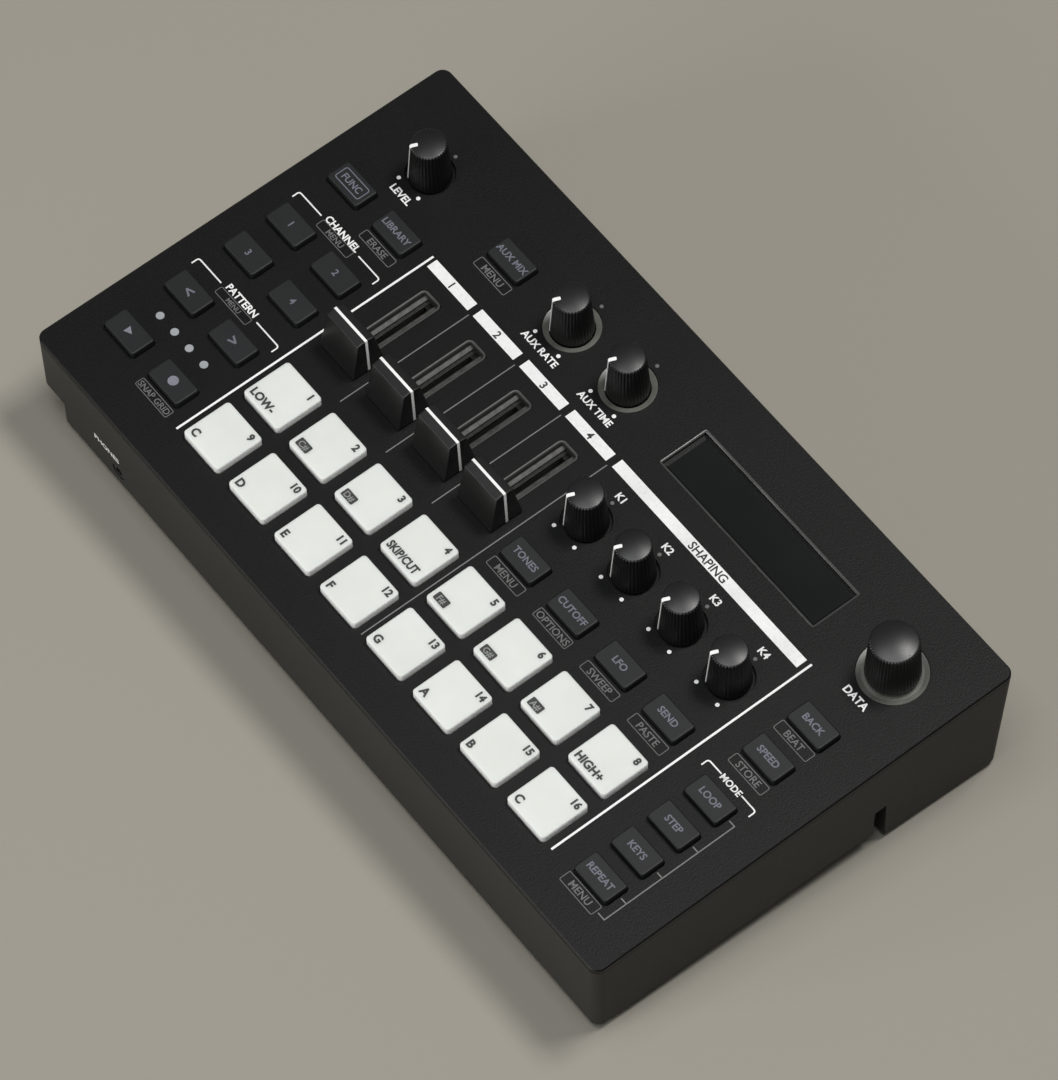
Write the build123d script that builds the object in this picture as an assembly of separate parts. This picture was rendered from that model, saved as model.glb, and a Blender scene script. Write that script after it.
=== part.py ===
"""Desktop drum machine: sixteen pads, twenty-one buttons, eight knobs, four faders and a display
in a wedge-shaped plastic case.  All sizes are in millimetres.

Controls are drawn in the panel's own frame: u runs right along the panel's front edge, v runs
back, w rises square to the panel, and (0, 0, 0) is the front left corner of its top face.
on_panel() tilts such a shape and lifts it, so that the feet stand on z = 0 and the origin lies
under the middle of the case.  The case, the rear connectors and the battery door are drawn
straight in the object's frame: x right, y back, z up.
"""

import os
from math import cos, pi, radians, sin, tan

from build123d import *

# ---------------------------------------------------------------- driving dimensions
# case
case_width = 325.0
panel_depth = 186.0
tilt = 4.5                     # degrees that the panel rises to the rear
corner_radius = 4.0            # upright corners of the case
lid_thickness = 2.2
lid_edge_chamfer = 0.5
seam_gap = 0.3                 # open joint between lid and lower case
wall = 2.5
front_wall_depth = 44.0        # panel to the bottom of the front wall
belly_depth = 47.9             # panel to the belly, where it meets the leg
leg_front = 129.0              # v of the leg's front face
panel_lift = 45.9              # panel to the table at the front edge, measured square to the panel
leg_clearance = 1.2            # leg above the table
bottom_fillet = 2.0
lip_height = 3.3               # locating lip under the lid
lip_thickness = 1.2
lip_clearance = 0.4

# cut-out at the bottom of the front left corner, and the notch in each side wall
corner_cut_width = 14.0
corner_cut_depth = 16.0
corner_cut_top = 30.0          # panel to the roof of the cut-out
notch_width = 5.4
notch_depth = 5.0
notch_top = 31.0

# control grid on the panel
column_first = 77.3            # u of the first pad column
column_last_inset = 60.94      # last pad column from the right edge
column_count = 8
pad_row_front = 27.0
pad_row_spacing = 6.2          # panel left between the two rows of pads
left_column_a = 21.4
left_column_b = 48.0
right_column_inset = 27.3      # right column of controls from the right edge
knob_row = 153.1               # level, effects, display and value knob
control_row = 107.3
button_row = 80.2
level_column = 34.3
effect_button_column = 83.4
effect_columns = (117.8, 149.8)

# pads
pad_spacing = 6.28             # panel left between neighbouring pads
pad_corner = 1.5
pad_rise = 3.0
pad_edge_fillet = 0.6
pad_gap = 0.3
pad_travel = 1.2
pad_flange_overlap = 0.6
pad_flange_thickness = 1.2
pad_stem_side = 9.0
sensor_height = 1.1

# buttons
button_length = 17.7
button_width = 10.1
button_corner = 1.2
button_rise = 2.8
button_edge_fillet = 0.7
button_gap = 0.35
button_travel = 1.0
button_flange_overlap = 0.8
button_flange_thickness = 1.0
button_stem_diameter = 4.0
switch_side = 6.0
switch_height = 5.0

# running and stop clearances
stop_clearance = 0.3           # left between stem and sensor at full travel
flange_clearance = 0.3         # flange under the lid at rest
shaft_clearance = 0.05         # radial, shaft in its bushing
press_clearance = 0.02         # radial, shaft pressed into its knob

# knobs
knob_base_diameter = 16.6
knob_top_diameter = 13.4
knob_height = 20.6             # from the knob's lower rim to its upper edge
knob_dome = 0.5
knob_ribs = 44
rib_depth = 0.35
knob_recess_diameter = 19.0
knob_recess_depth = 1.6
knob_floor_gap = 0.7           # knob's lower rim above the recess floor
knob_bore_depth = 12.0
value_base_diameter = 20.4
value_top_diameter = 18.0
value_height = 20.9
value_dome = 1.3
value_lower_rim = 1.2          # above the panel at rest
value_travel = 0.8
value_ribs = 52
shaft_diameter = 6.0
bushing_diameter = 7.2
bushing_hole_gap = 0.4
pot_side = 11.0
pot_height = 6.2
knob_pad_diameter = 23.0       # thickened disc under the lid at each knob
knob_pad_thickness = 1.2

# light rings and lights
ring_outer = 21.6
value_ring_outer = 26.0
ring_gap = 0.2
ring_play = 0.3                # radial gap between ring and knob
ring_sink_outer = 0.35         # ring's top face below the panel, at its rim and at its bore
ring_sink_inner = 1.1
ring_thickness = 2.6
light_diameter = 3.2
light_first = 21.6
light_pitch = 8.8
light_row = 40.1
light_count = 4

# faders
fader_rest = 84.9              # v of the cap's middle at the front stop
fader_travel = 30.0
slot_width = 8.8
slot_front = 79.6
slot_rear = 120.9
slot_corner = 1.6
slot_depth = 3.4
slot_floor = 1.2
slot_wall = 1.2
slit_width = 2.4
rim_chamfer = 0.4
lever_width = 1.2
lever_length = 4.4
lever_play = 0.6
fader_body_width = 8.0
fader_body_length = 46.0
cap_width_top = 18.4
cap_width_base = 19.6
cap_length_top = 7.4
cap_length_base = 14.4
cap_height = 18.6
cap_floor_gap = 0.8
cap_ridge = 0.7                # height of the crown's ridge above its front and rear edges
cap_socket_depth = 11.0

# display
display_left = 181.8
display_right_inset = 58.5     # right end of the opening from the panel's right edge
display_width = 20.3
display_straight = 1.8         # depth of the frame's upright wall
display_depth = 2.5            # panel to the lens
display_bevel = 1.6
display_frame_wall = 2.4
lens_thickness = 1.2
lens_margin = 1.6
module_gap = 0.5

# boards, bosses and screws
board_drop = 12.0              # panel to the main board's top face
board_thickness = 1.6
board_inset = 4.5
board_rear_inset = 6.0
boss_diameter = 7.0
boss_drop = 20.0               # panel to the joint between lid bosses and case pillars
boss_gap = 0.4
boss_inset = 7.0
boss_rows = (40.0, 112.0, 176.0)
middle_boss_row = 8.0
middle_boss_gap = 5.2          # rear edge of the pads to the boss behind them
rear_boss_row = 176.0
rear_boss_spacing = 20.68      # last round socket to the boss beside it at the rear wall
pillar_diameter = 9.0
pillar_web = 3.0
screw_shank = 2.8
screw_length = 9.0
screw_head = 5.6
screw_head_height = 2.2
head_gap = 0.4
screw_clearance = 0.2
board_post_diameter = 5.0
board_post_left = 61.6
board_post_right_inset = 44.0
board_post_rows = (40.0, 110.0, 168.0)
board_screw_shank = 2.0
board_screw_head = 4.4
board_screw_head_height = 1.6
board_screw_length = 6.0

# rear connectors: u along the rear wall, z above the table
jack_height = 32.0
jack_board_drop = 8.5          # connector axis to its board
power_column = 34.0
usb_spacing = 28.0             # power switch to USB socket, and so on to the right
card_spacing = 30.0
din_spacing = 32.0
din_pitch = 26.0
output_spacing = 50.0
output_pitch = 26.0
output_bore = 6.4
output_nose = 11.0
output_body = (15.0, 26.0, 14.0)
output_bore_depth = 24.0
din_bore = 13.4
din_nose = 15.2
din_bore_depth = 9.0
din_body = (19.0, 14.0, 17.0)
din_pin_diameter = 1.6
din_pin_circle = 6.6
din_pin_depth = 3.0
usb_opening = (8.6, 7.9)
usb_body = (12.0, 16.0, 10.8)
usb_depth = 9.0
usb_tongue = (5.6, 7.0, 3.1)
card_opening = (25.0, 2.6)
card_depth = 20.0
card_body = (28.0, 26.0, 4.6)
power_slot = (9.4, 4.0)
power_nub = (4.0, 3.2)
power_travel = 4.0
power_nub_depth = 6.0
power_body = (15.0, 8.0, 9.0)
nose_gap = 0.3
face_sink = 0.3                # connector faces behind the rear wall's outer face
connector_board_depth = 32.0
connector_board_margin = 12.0  # board past the axes of its first and last connector
support_post_diameter = 6.0
support_post_inset = 4.0       # last support post from the board's right edge

# phones jack in the front wall
phones_u = 46.6
phones_drop = 35.4             # panel to the jack's axis
phones_bore = 3.6
phones_nose = 6.4
phones_body = (11.0, 13.0, 10.6)
phones_bore_depth = 12.0

# battery bay and door
bay_left = 36.0
bay_length = 104.0
bay_width = 45.5
bay_height = 15.2
bay_wall = 1.5
bay_front_wall = 4.0
leg_floor = 3.8
door_thickness = 2.0
door_gap = 0.3
door_overlap = 3.0
door_tongue = 1.0
door_tongue_thickness = 0.8
door_travel = 44.0

# feet
foot_diameter = 12.0
foot_inset_side = 22.0
foot_inset_front = 21.0
foot_inset_rear = 16.0
foot_edge = 0.5

# ---------------------------------------------------------------- derived values
half_width = case_width / 2
board_top = -board_drop
board_bottom = -board_drop - board_thickness
case_top = -lid_thickness - seam_gap
front_edge_y = lid_edge_chamfer * sin(radians(tilt))
rear_edge_y = panel_depth * cos(radians(tilt)) - case_top * sin(radians(tilt))
middle_y = (front_edge_y + rear_edge_y) / 2
lift = panel_lift * cos(radians(tilt))
rear_y = rear_edge_y - middle_y
rear_inner = rear_y - wall
fader_middle = fader_rest + fader_travel / 2

column_pitch = (case_width - column_last_inset - column_first) / (column_count - 1)
pad_side = column_pitch - pad_spacing
pad_row_rear = pad_row_front + pad_side + pad_row_spacing
right_column = case_width - right_column_inset
display_right = case_width - display_right_inset
usb_column = power_column + usb_spacing
card_column = usb_column + card_spacing
din_columns = (card_column + din_spacing, card_column + din_spacing + din_pitch)
output_columns = (din_columns[1] + output_spacing, din_columns[1] + output_spacing + output_pitch)
connector_board_left = power_column - connector_board_margin
connector_board_right = output_columns[1] + connector_board_margin + 2
support_posts = (card_column + 0.625 * din_spacing, connector_board_right - support_post_inset)

pad_columns = [column_first + k * column_pitch for k in range(column_count)]
pads = {f"pad_{k + 1:02d}": (u, pad_row_rear) for k, u in enumerate(pad_columns)}
pads |= {f"pad_{k + 9:02d}": (u, pad_row_front) for k, u in enumerate(pad_columns)}

buttons = {
    "button_play": (left_column_a, 26.7),
    "button_record": (left_column_b, 26.7),
    "button_step_back": (left_column_a, 53.5),
    "button_step_forward": (left_column_b, 53.5),
    "button_track_3": (left_column_a, button_row),
    "button_track_4": (left_column_b, button_row),
    "button_track_1": (left_column_a, 99.5),
    "button_track_2": (left_column_b, 99.5),
    "button_shift": (left_column_a, 127.3),
    "button_song": (left_column_b, 127.3),
    "button_effects": (effect_button_column, knob_row - 0.3),
    "button_sound": (pad_columns[4], button_row),
    "button_filter": (pad_columns[5], button_row),
    "button_modulation": (pad_columns[6], button_row),
    "button_send": (pad_columns[7], button_row),
    "button_exit": (right_column, 117.6),
    "button_tempo": (right_column, 97.5),
    "button_clip": (right_column, 71.8),
    "button_sequence": (right_column, 55.8),
    "button_note": (right_column, 39.8),
    "button_roll": (right_column, 23.8),
}

plain_knobs = {"knob_level": (level_column, knob_row)}
plain_knobs |= {f"knob_control_{k + 1}": (pad_columns[k + 4], control_row) for k in range(4)}
ringed_knobs = {f"knob_effect_{k + 1}": (u, knob_row) for k, u in enumerate(effect_columns)}
value_place = (right_column, knob_row)

faders = {f"fader_{k + 1}": pad_columns[k] for k in range(4)}
lights = [(light_first + k * light_pitch, light_row) for k in range(light_count)]
bosses = [(u, v) for u in (boss_inset, case_width - boss_inset) for v in boss_rows]
middle_boss_u = (pad_columns[3] + pad_columns[4]) / 2
bosses += [(middle_boss_u, middle_boss_row), (din_columns[1] + rear_boss_spacing, rear_boss_row)]
bosses += [(middle_boss_u, pad_row_rear + pad_side / 2 + middle_boss_gap)]
board_posts = [(u, v) for u in (board_post_left, case_width - board_post_right_inset)
               for v in board_post_rows]

MIDDLE = (Align.CENTER, Align.CENTER, Align.MIN)


# ---------------------------------------------------------------- small helpers
def block(a0, a1, b0, b1, c0, c1):
    """A box between two corners."""
    return Pos((a0 + a1) / 2, (b0 + b1) / 2, (c0 + c1) / 2) * Box(a1 - a0, b1 - b0, c1 - c0)


def rod(place, low, high, diameter):
    """A cylinder along w over a point (u, v)."""
    return Pos(place[0], place[1], low) * Cylinder(diameter / 2, high - low, align=MIDDLE)


def plate(place, low, high, length, width, corner):
    """A rounded rectangle carried along w."""
    return Pos(place[0], place[1], low) * extrude(RectangleRounded(length, width, corner), high - low)


def on_panel(shape):
    """Bring a shape from the panel's frame to the object's frame."""
    return Pos(-half_width, -middle_y, lift) * Rot(tilt, 0, 0) * shape


def side_point(v, w):
    """The (y, z) of a panel point (v, w) in the object's frame."""
    a = radians(tilt)
    return (v * cos(a) - w * sin(a) - middle_y, v * sin(a) + w * cos(a) + lift)


def along_y(x, z, front, rear, diameter):
    """A cylinder along y between two y values."""
    return Pos(x, front, z) * Rot(-90, 0, 0) * Cylinder(diameter / 2, rear - front, align=MIDDLE)


def case_x(u):
    return u - half_width


# ---------------------------------------------------------------- case
def side_profile(points, width):
    """A side outline, given as (y, z) points, carried across the case."""
    face = make_face(Plane.YZ * Polyline(*points, close=True))
    return extrude(face, width / 2, both=True)


def case_outer():
    """Solid outer form of the lower case with its rounded corners and bottom edges."""
    top_front = side_point(0, case_top)
    bottom_front = side_point(0, -front_wall_depth)
    belly_rear = side_point(leg_front, -belly_depth)
    leg_toe = (belly_rear[0], leg_clearance)
    leg_heel = (rear_y, leg_clearance)
    top_rear = side_point(panel_depth, case_top)
    solid = side_profile([top_front, bottom_front, belly_rear, leg_toe, leg_heel, top_rear], case_width)
    uprights = [
        e for e in solid.edges()
        if abs(abs(e.center().X) - half_width) < 0.01
        and (abs(e.center().Y - (top_front[0] + bottom_front[0]) / 2) < 0.5
             or abs(e.center().Y - rear_y) < 0.5)
    ]
    solid = fillet(uprights, corner_radius)
    step_z = (belly_rear[1] + leg_clearance) / 2
    bottoms = [f for f in solid.faces() if f.normal_at().Z < -0.9]
    rims = [e for f in bottoms for e in f.edges()]
    inner_corner = [
        e for e in rims
        if abs(e.center().Y - belly_rear[0]) < 0.01 and e.center().Z > step_z
    ]
    rims = [e for e in rims if e not in inner_corner]
    return fillet(rims, bottom_fillet)


def recess_boxes(grow):
    """Corner cut-out and side notches, grown on every inner side by a wall."""
    cut = on_panel(block(-5, corner_cut_width + grow, -5, corner_cut_depth + grow,
                         -2 * front_wall_depth, -corner_cut_top + grow))
    notches = [
        on_panel(block(low, high, leg_front - notch_width - grow, leg_front + grow,
                       -2 * front_wall_depth, -notch_top + grow))
        for low, high in ((-5, notch_depth + grow),
                          (case_width - notch_depth - grow, case_width + 5))
    ]
    return [cut] + notches


def case_cavity():
    """The room inside the lower case, left by walls of even thickness."""
    above = 3.0
    step = side_point(leg_front, -belly_depth + wall)
    rear_top = side_point(panel_depth, above)
    points = [
        side_point(wall, above),
        side_point(wall, -front_wall_depth + wall),
        step,
        (step[0] + wall, step[1]),
        (step[0] + wall, leg_clearance + leg_floor),
        (rear_inner, leg_clearance + leg_floor),
        (rear_inner, rear_top[1]),
    ]
    room = side_profile(points, case_width - 2 * wall)
    for box in recess_boxes(wall):
        room -= box
    return room


def bay_box():
    """Inner limits of the battery bay: x0, x1, y0, y1, z0, z1."""
    front = side_point(leg_front, -belly_depth)[0] + bay_front_wall
    x0 = case_x(bay_left)
    z0 = leg_clearance + door_thickness + door_gap
    return x0, x0 + bay_length, front, front + bay_width, z0, z0 + bay_height


def door_places():
    """Door limits: x0, x1, y0, y1."""
    x0, x1, _, y1, _, _ = bay_box()
    front = side_point(leg_front, -belly_depth)[0] + bottom_fillet
    return x0 - door_overlap, x1 + door_overlap, front, y1 + bay_wall / 2


def connector_cuts():
    """Holes in the rear wall, one for each connector and the switch."""
    reach = (rear_inner - 1, rear_y + 1)
    cuts = [along_y(case_x(u), jack_height, *reach, output_nose + 2 * nose_gap) for u in output_columns]
    cuts += [along_y(case_x(u), jack_height, *reach, din_nose + 2 * nose_gap) for u in din_columns]
    for u, (length, height) in ((usb_column, usb_opening), (card_column, card_opening),
                                (power_column, power_slot)):
        x = case_x(u)
        cuts.append(block(x - length / 2, x + length / 2, *reach,
                          jack_height - height / 2, jack_height + height / 2))
    return cuts


def connector_board_level():
    """z of the connector board's top face."""
    return jack_height - jack_board_drop


def make_lower_case(outer):
    case = outer - case_cavity()
    for box in recess_boxes(0):
        case -= box
    inside = block(-half_width + 1, half_width - 1, -panel_depth, rear_inner + 1, leg_clearance + 1,
                   panel_depth)
    inner = outer & inside
    for place in bosses:
        pillar = on_panel(rod(place, -90, -boss_drop, pillar_diameter)) & inner
        case += pillar
        case -= on_panel(rod(place, -90, -boss_drop - pillar_web, screw_head + 2 * head_gap))
        case -= on_panel(rod(place, -boss_drop - pillar_web - 1, -boss_drop + 1,
                             screw_shank + 2 * screw_clearance))
    x0, x1, y0, y1, z0, z1 = bay_box()
    case += block(x0 - bay_wall, x1 + bay_wall, y0 - bay_wall, rear_inner + 0.5,
                  leg_clearance + leg_floor - 0.5, z1 + bay_wall)
    case -= block(x0, x1, y0, y1, 0, z1)
    dx0, dx1, dy0, dy1 = door_places()
    slot_y = (dy0 - bottom_fillet - 5, dy1 + door_gap)
    case -= block(dx0 - door_gap, dx1 + door_gap, *slot_y, 0, z0)
    lip = leg_clearance + (door_thickness - door_tongue_thickness) / 2
    case -= block(dx0 - door_tongue - door_gap, dx1 + door_tongue + door_gap, *slot_y,
                  lip - door_gap, lip + door_tongue_thickness + door_gap)
    low = connector_board_level() - board_thickness
    for u in support_posts:
        foot = z1 + bay_wall - 0.5 if u < bay_left + bay_length + bay_wall else leg_clearance + 1
        y = rear_inner - connector_board_depth / 2
        case += Pos(case_x(u), y, foot) * Cylinder(support_post_diameter / 2, low - foot, align=MIDDLE)
    for cut in connector_cuts():
        case -= cut
    case -= on_panel(Pos(phones_u, -1, -phones_drop) * Rot(-90, 0, 0)
                     * Cylinder(phones_nose / 2 + nose_gap, wall + 2, align=MIDDLE))
    return case


# ---------------------------------------------------------------- lid
def display_middle():
    return ((display_left + display_right) / 2, knob_row)


def frustum(place, low, high, bottom, top):
    """A rectangle that tapers between two levels; bottom and top are (length, width)."""
    lower = Plane.XY.offset(low) * Rectangle(*bottom)
    upper = Plane.XY.offset(high) * Rectangle(*top)
    return Pos(place[0], place[1], 0) * loft([lower, upper], ruled=True)


def make_top_panel():
    middle = (half_width, panel_depth / 2)
    top = plate(middle, -lid_thickness, 0, case_width, panel_depth, corner_radius)
    top = chamfer(top.faces().sort_by(Axis.Z)[-1].edges(), lid_edge_chamfer)

    inset = wall + lip_clearance
    outer_lip = plate(middle, -lid_thickness - lip_height, -lid_thickness,
                      case_width - 2 * inset, panel_depth - 2 * inset, corner_radius / 2)
    inner_lip = plate(middle, -lid_thickness - lip_height - 1, -lid_thickness + 1,
                      case_width - 2 * (inset + lip_thickness),
                      panel_depth - 2 * (inset + lip_thickness), corner_radius / 4)
    added = [outer_lip - inner_lip]
    added += [rod(p, -boss_drop, -lid_thickness, boss_diameter) for p in bosses]
    added += [rod(p, -board_drop, -lid_thickness, board_post_diameter) for p in board_posts]
    added += [rod(p, -lid_thickness - knob_pad_thickness, -lid_thickness, knob_pad_diameter)
              for p in plain_knobs.values()]
    slot_length = slot_rear - slot_front
    slot_middle = (slot_rear + slot_front) / 2
    for u in faders.values():
        added.append(plate((u, slot_middle), -slot_depth - slot_floor, -lid_thickness,
                           slot_width + 2 * slot_wall, slot_length + 2 * slot_wall,
                           slot_corner + slot_wall))
    length = display_right - display_left
    frame = display_middle()
    added.append(plate(frame, -display_depth, -lid_thickness, length + 2 * display_frame_wall,
                       display_width + 2 * display_frame_wall, 1.0))
    for shape in added:
        top += shape

    cuts = [plate(p, -6, 1, pad_side + 2 * pad_gap, pad_side + 2 * pad_gap, pad_corner + pad_gap)
            for p in pads.values()]
    cuts += [plate(p, -6, 1, button_length + 2 * button_gap, button_width + 2 * button_gap,
                   button_corner + button_gap) for p in buttons.values()]
    for p in plain_knobs.values():
        cuts.append(rod(p, -knob_recess_depth, 1, knob_recess_diameter))
        cuts.append(rod(p, -6, 1, bushing_diameter + 2 * bushing_hole_gap))
    cuts += [rod(p, -6, 1, ring_outer + 2 * ring_gap) for p in ringed_knobs.values()]
    cuts.append(rod(value_place, -6, 1, value_ring_outer + 2 * ring_gap))
    cuts += [rod(p, -6, 1, light_diameter + 2 * ring_gap) for p in lights]
    for u in faders.values():
        place = (u, slot_middle)
        cuts.append(plate(place, -slot_depth, 1, slot_width, slot_length, slot_corner))
        rim = rim_chamfer
        cuts.append(frustum(place, -rim, rim, (slot_width, slot_length),
                            (slot_width + 4 * rim, slot_length + 4 * rim)))
        cuts.append(block(u - slit_width / 2, u + slit_width / 2,
                          fader_rest - lever_length / 2 - lever_play,
                          fader_rest + fader_travel + lever_length / 2 + lever_play, -8, 0))
    rim = rim_chamfer
    window = (length, display_width)
    cuts.append(frustum(frame, -display_straight, 0.5, window, window))
    cuts.append(frustum(frame, -rim, rim, window, (length + 4 * rim, display_width + 4 * rim)))
    cuts.append(frustum(frame, -display_depth, -display_straight,
                        (length - 2 * display_bevel, display_width - 2 * display_bevel), window))
    cuts += [rod(p, -boss_drop - 1, -boss_drop + screw_length, screw_shank + 2 * press_clearance)
             for p in bosses]
    cuts += [rod(p, -board_drop - 1, -board_drop + board_screw_length,
                 board_screw_shank + 2 * press_clearance) for p in board_posts]
    for shape in cuts:
        top -= shape
    return top


# ---------------------------------------------------------------- pads and buttons
def key_cap(place, size, corner, rise, edge, overlap, flange, stem):
    """A pressable cap: a rounded block with a retaining flange and a stem under the lid.

    size is (length, width); flange is its thickness; stem is (solid section, lower end).
    """
    flange_top = -lid_thickness - flange_clearance
    cap = plate(place, flange_top - flange / 2, rise, *size, corner)
    cap = fillet(cap.faces().sort_by(Axis.Z)[-1].edges(), edge)
    cap += plate(place, flange_top - flange, flange_top, size[0] + 2 * overlap + 2 * button_gap,
                 size[1] + 2 * overlap + 2 * button_gap, corner)
    section, low = stem
    cap += Pos(place[0], place[1], low) * extrude(section, flange_top - flange / 2 - low)
    return cap


def make_pad(place):
    low = board_top + sensor_height + pad_travel + stop_clearance
    stem = (RectangleRounded(pad_stem_side, pad_stem_side, 1.0), low)
    return key_cap(place, (pad_side, pad_side), pad_corner, pad_rise, pad_edge_fillet,
                   pad_flange_overlap, pad_flange_thickness, stem)


def make_button(place):
    low = board_top + switch_height + button_travel + stop_clearance
    stem = (Circle(button_stem_diameter / 2), low)
    return key_cap(place, (button_length, button_width), button_corner, button_rise,
                   button_edge_fillet, button_flange_overlap, button_flange_thickness, stem)


# ---------------------------------------------------------------- knobs
def ribbed_outline(diameter, ribs, level):
    """A closed zigzag of the given outer diameter, with one tooth for each rib."""
    step = pi / ribs
    radii = (diameter / 2, diameter / 2 - rib_depth)
    points = [(radii[k % 2] * cos(k * step), radii[k % 2] * sin(k * step)) for k in range(2 * ribs)]
    return Plane.XY.offset(level) * make_face(Polyline(*points, close=True))


def knob_body(place, low, height, base, top, dome, ribs):
    """A ribbed cone with a shallow domed crown."""
    cone = loft([ribbed_outline(base, ribs, low), ribbed_outline(top, ribs, low + height)], ruled=True)
    crown_radius = ((top / 2 - rib_depth) ** 2 + dome ** 2) / (2 * dome)
    ball = Pos(0, 0, low + height + dome - crown_radius) * Sphere(crown_radius)
    column = Pos(0, 0, low + height - dome) * Cylinder(top / 2 - rib_depth, 3 * dome, align=MIDDLE)
    return Pos(place[0], place[1], 0) * (cone + (ball & column))


def knob_low_level():
    return -knob_recess_depth + knob_floor_gap


def make_small_knob(place):
    """A knob and the potentiometer shaft that it is pressed on."""
    low = knob_low_level()
    body = knob_body(place, low, knob_height, knob_base_diameter, knob_top_diameter, knob_dome, knob_ribs)
    body -= rod(place, low - 1, low + knob_bore_depth, shaft_diameter + 2 * press_clearance)
    shaft = rod(place, board_top + 2.0, low + knob_bore_depth - 0.2, shaft_diameter)
    return [body, shaft]


def make_value_knob():
    body = knob_body(value_place, value_lower_rim, value_height, value_base_diameter,
                     value_top_diameter, value_dome, value_ribs)
    return body - rod(value_place, value_lower_rim - 1, value_lower_rim + knob_bore_depth,
                      shaft_diameter + 2 * shaft_clearance)


def make_encoder_plunger():
    """The encoder's inner shaft: it carries the value knob and presses with it."""
    return rod(value_place, board_top + value_travel + stop_clearance + 1.0,
               value_lower_rim + knob_bore_depth - 0.2, shaft_diameter)


# ---------------------------------------------------------------- faders
def make_fader(u):
    """A fader cap with a low ridge across its crown, and the lever that carries it."""
    middle = (u, fader_rest)
    low, high = cap_floor_gap, cap_floor_gap + cap_height
    cap = frustum(middle, low, high, (cap_width_base, cap_length_base), (cap_width_top, cap_length_top))
    crown = cap.faces().sort_by(Axis.Z)[-1]
    uprights = [e for e in cap.edges() if e not in crown.edges() and abs(e.center().Z - low) > 1]
    cap = fillet(uprights, 0.8)
    half = cap_length_base / 2
    fall = cap_ridge * half / (cap_length_top / 2)
    outline = [(-half, high - fall), (0, high), (half, high - fall), (half, high + 1), (-half, high + 1)]
    above = make_face(Plane.YZ * Polyline(*outline, close=True))
    cap -= Pos(u, fader_rest, 0) * extrude(above, cap_width_base, both=True)
    play = press_clearance
    cap -= block(u - lever_width / 2 - play, u + lever_width / 2 + play,
                 fader_rest - lever_length / 2 - play, fader_rest + lever_length / 2 + play,
                 low - 1, low + cap_socket_depth)
    lever = block(u - lever_width / 2, u + lever_width / 2, fader_rest - lever_length / 2,
                  fader_rest + lever_length / 2, board_top + 2.5, low + cap_socket_depth - 0.2)
    return [cap, lever]


# ---------------------------------------------------------------- display and lights
def make_display_window():
    length = display_right - display_left
    return plate(display_middle(), -display_depth - lens_thickness, -display_depth,
                 length + 2 * lens_margin, display_width + 2 * lens_margin, 1.0)


def light_ring(place, outer, bore):
    """A dished translucent ring with a flange that seats under the lid."""
    top_in, top_out, low = -ring_sink_inner, -ring_sink_outer, -ring_sink_inner - ring_thickness
    flange_top = -lid_thickness - ring_gap
    section = Polyline((bore / 2, top_in), (outer / 2, top_out), (outer / 2, flange_top),
                       (outer / 2 + 1.0, flange_top), (outer / 2 + 1.0, low), (bore / 2, low), close=True)
    ring = revolve(make_face(Plane.XZ * section), Axis.Z)
    return Pos(place[0], place[1], 0) * ring


def make_light_guides():
    bore = knob_base_diameter + 2 * ring_play
    solids = [light_ring(p, ring_outer, bore) for p in ringed_knobs.values()]
    solids.append(light_ring(value_place, value_ring_outer, value_base_diameter + 2 * ring_play))
    solids += [rod(p, board_top + 1.0, 0.0, light_diameter) for p in lights]
    return solids


# ---------------------------------------------------------------- main board
def rotary_body(place, bore_extra):
    """Potentiometer or encoder body with its bushing, bored for the shaft."""
    half = pot_side / 2
    u, v = place
    body = block(u - half, u + half, v - half, v + half, board_top, board_top + pot_height)
    body += rod(place, board_top + pot_height - 1, knob_low_level() - 0.6, bushing_diameter)
    return body - rod(place, board_top + 1.0, 1.0, shaft_diameter + 2 * bore_extra)


def make_main_board():
    board = block(board_inset, case_width - board_inset, board_inset, panel_depth - board_rear_inset,
                  board_bottom, board_top)
    for p in bosses:
        board -= rod(p, board_bottom - 1, board_top + 1, boss_diameter + 2 * boss_gap)
    for p in board_posts:
        board -= rod(p, board_bottom - 1, board_top + 1, board_screw_shank + 2 * screw_clearance)
    solids = [board]
    rotary = list(plain_knobs.values()) + list(ringed_knobs.values()) + [value_place]
    solids += [rotary_body(p, shaft_clearance) for p in rotary]
    half = fader_body_length / 2
    for u in faders.values():
        body = block(u - fader_body_width / 2, u + fader_body_width / 2, fader_middle - half,
                     fader_middle + half, board_top, -slot_depth - slot_floor - 0.4)
        track = fader_travel / 2 + lever_length / 2 + lever_play
        body -= block(u - lever_width / 2 - 0.3, u + lever_width / 2 + 0.3,
                      fader_middle - track, fader_middle + track, board_top + 2.0, 0)
        solids.append(body)
    for p in buttons.values():
        side = switch_side / 2
        body = block(p[0] - side, p[0] + side, p[1] - side, p[1] + side,
                     board_top, board_top + switch_height - 1.2)
        solids.append(body + rod(p, board_top, board_top + switch_height, 3.4))
    for p in pads.values():
        side = pad_stem_side / 2 + 0.5
        solids.append(block(p[0] - side, p[0] + side, p[1] - side, p[1] + side,
                            board_top, board_top + sensor_height))
    solids += [rod(p, board_top, board_top + 0.9, light_diameter) for p in lights]
    u, v = display_middle()
    length = display_right - display_left + 2 * lens_margin + 4
    width = display_width + 2 * lens_margin + 4
    solids.append(block(u - length / 2, u + length / 2, v - width / 2, v + width / 2, board_top,
                        -display_depth - lens_thickness - module_gap))
    return solids


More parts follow.
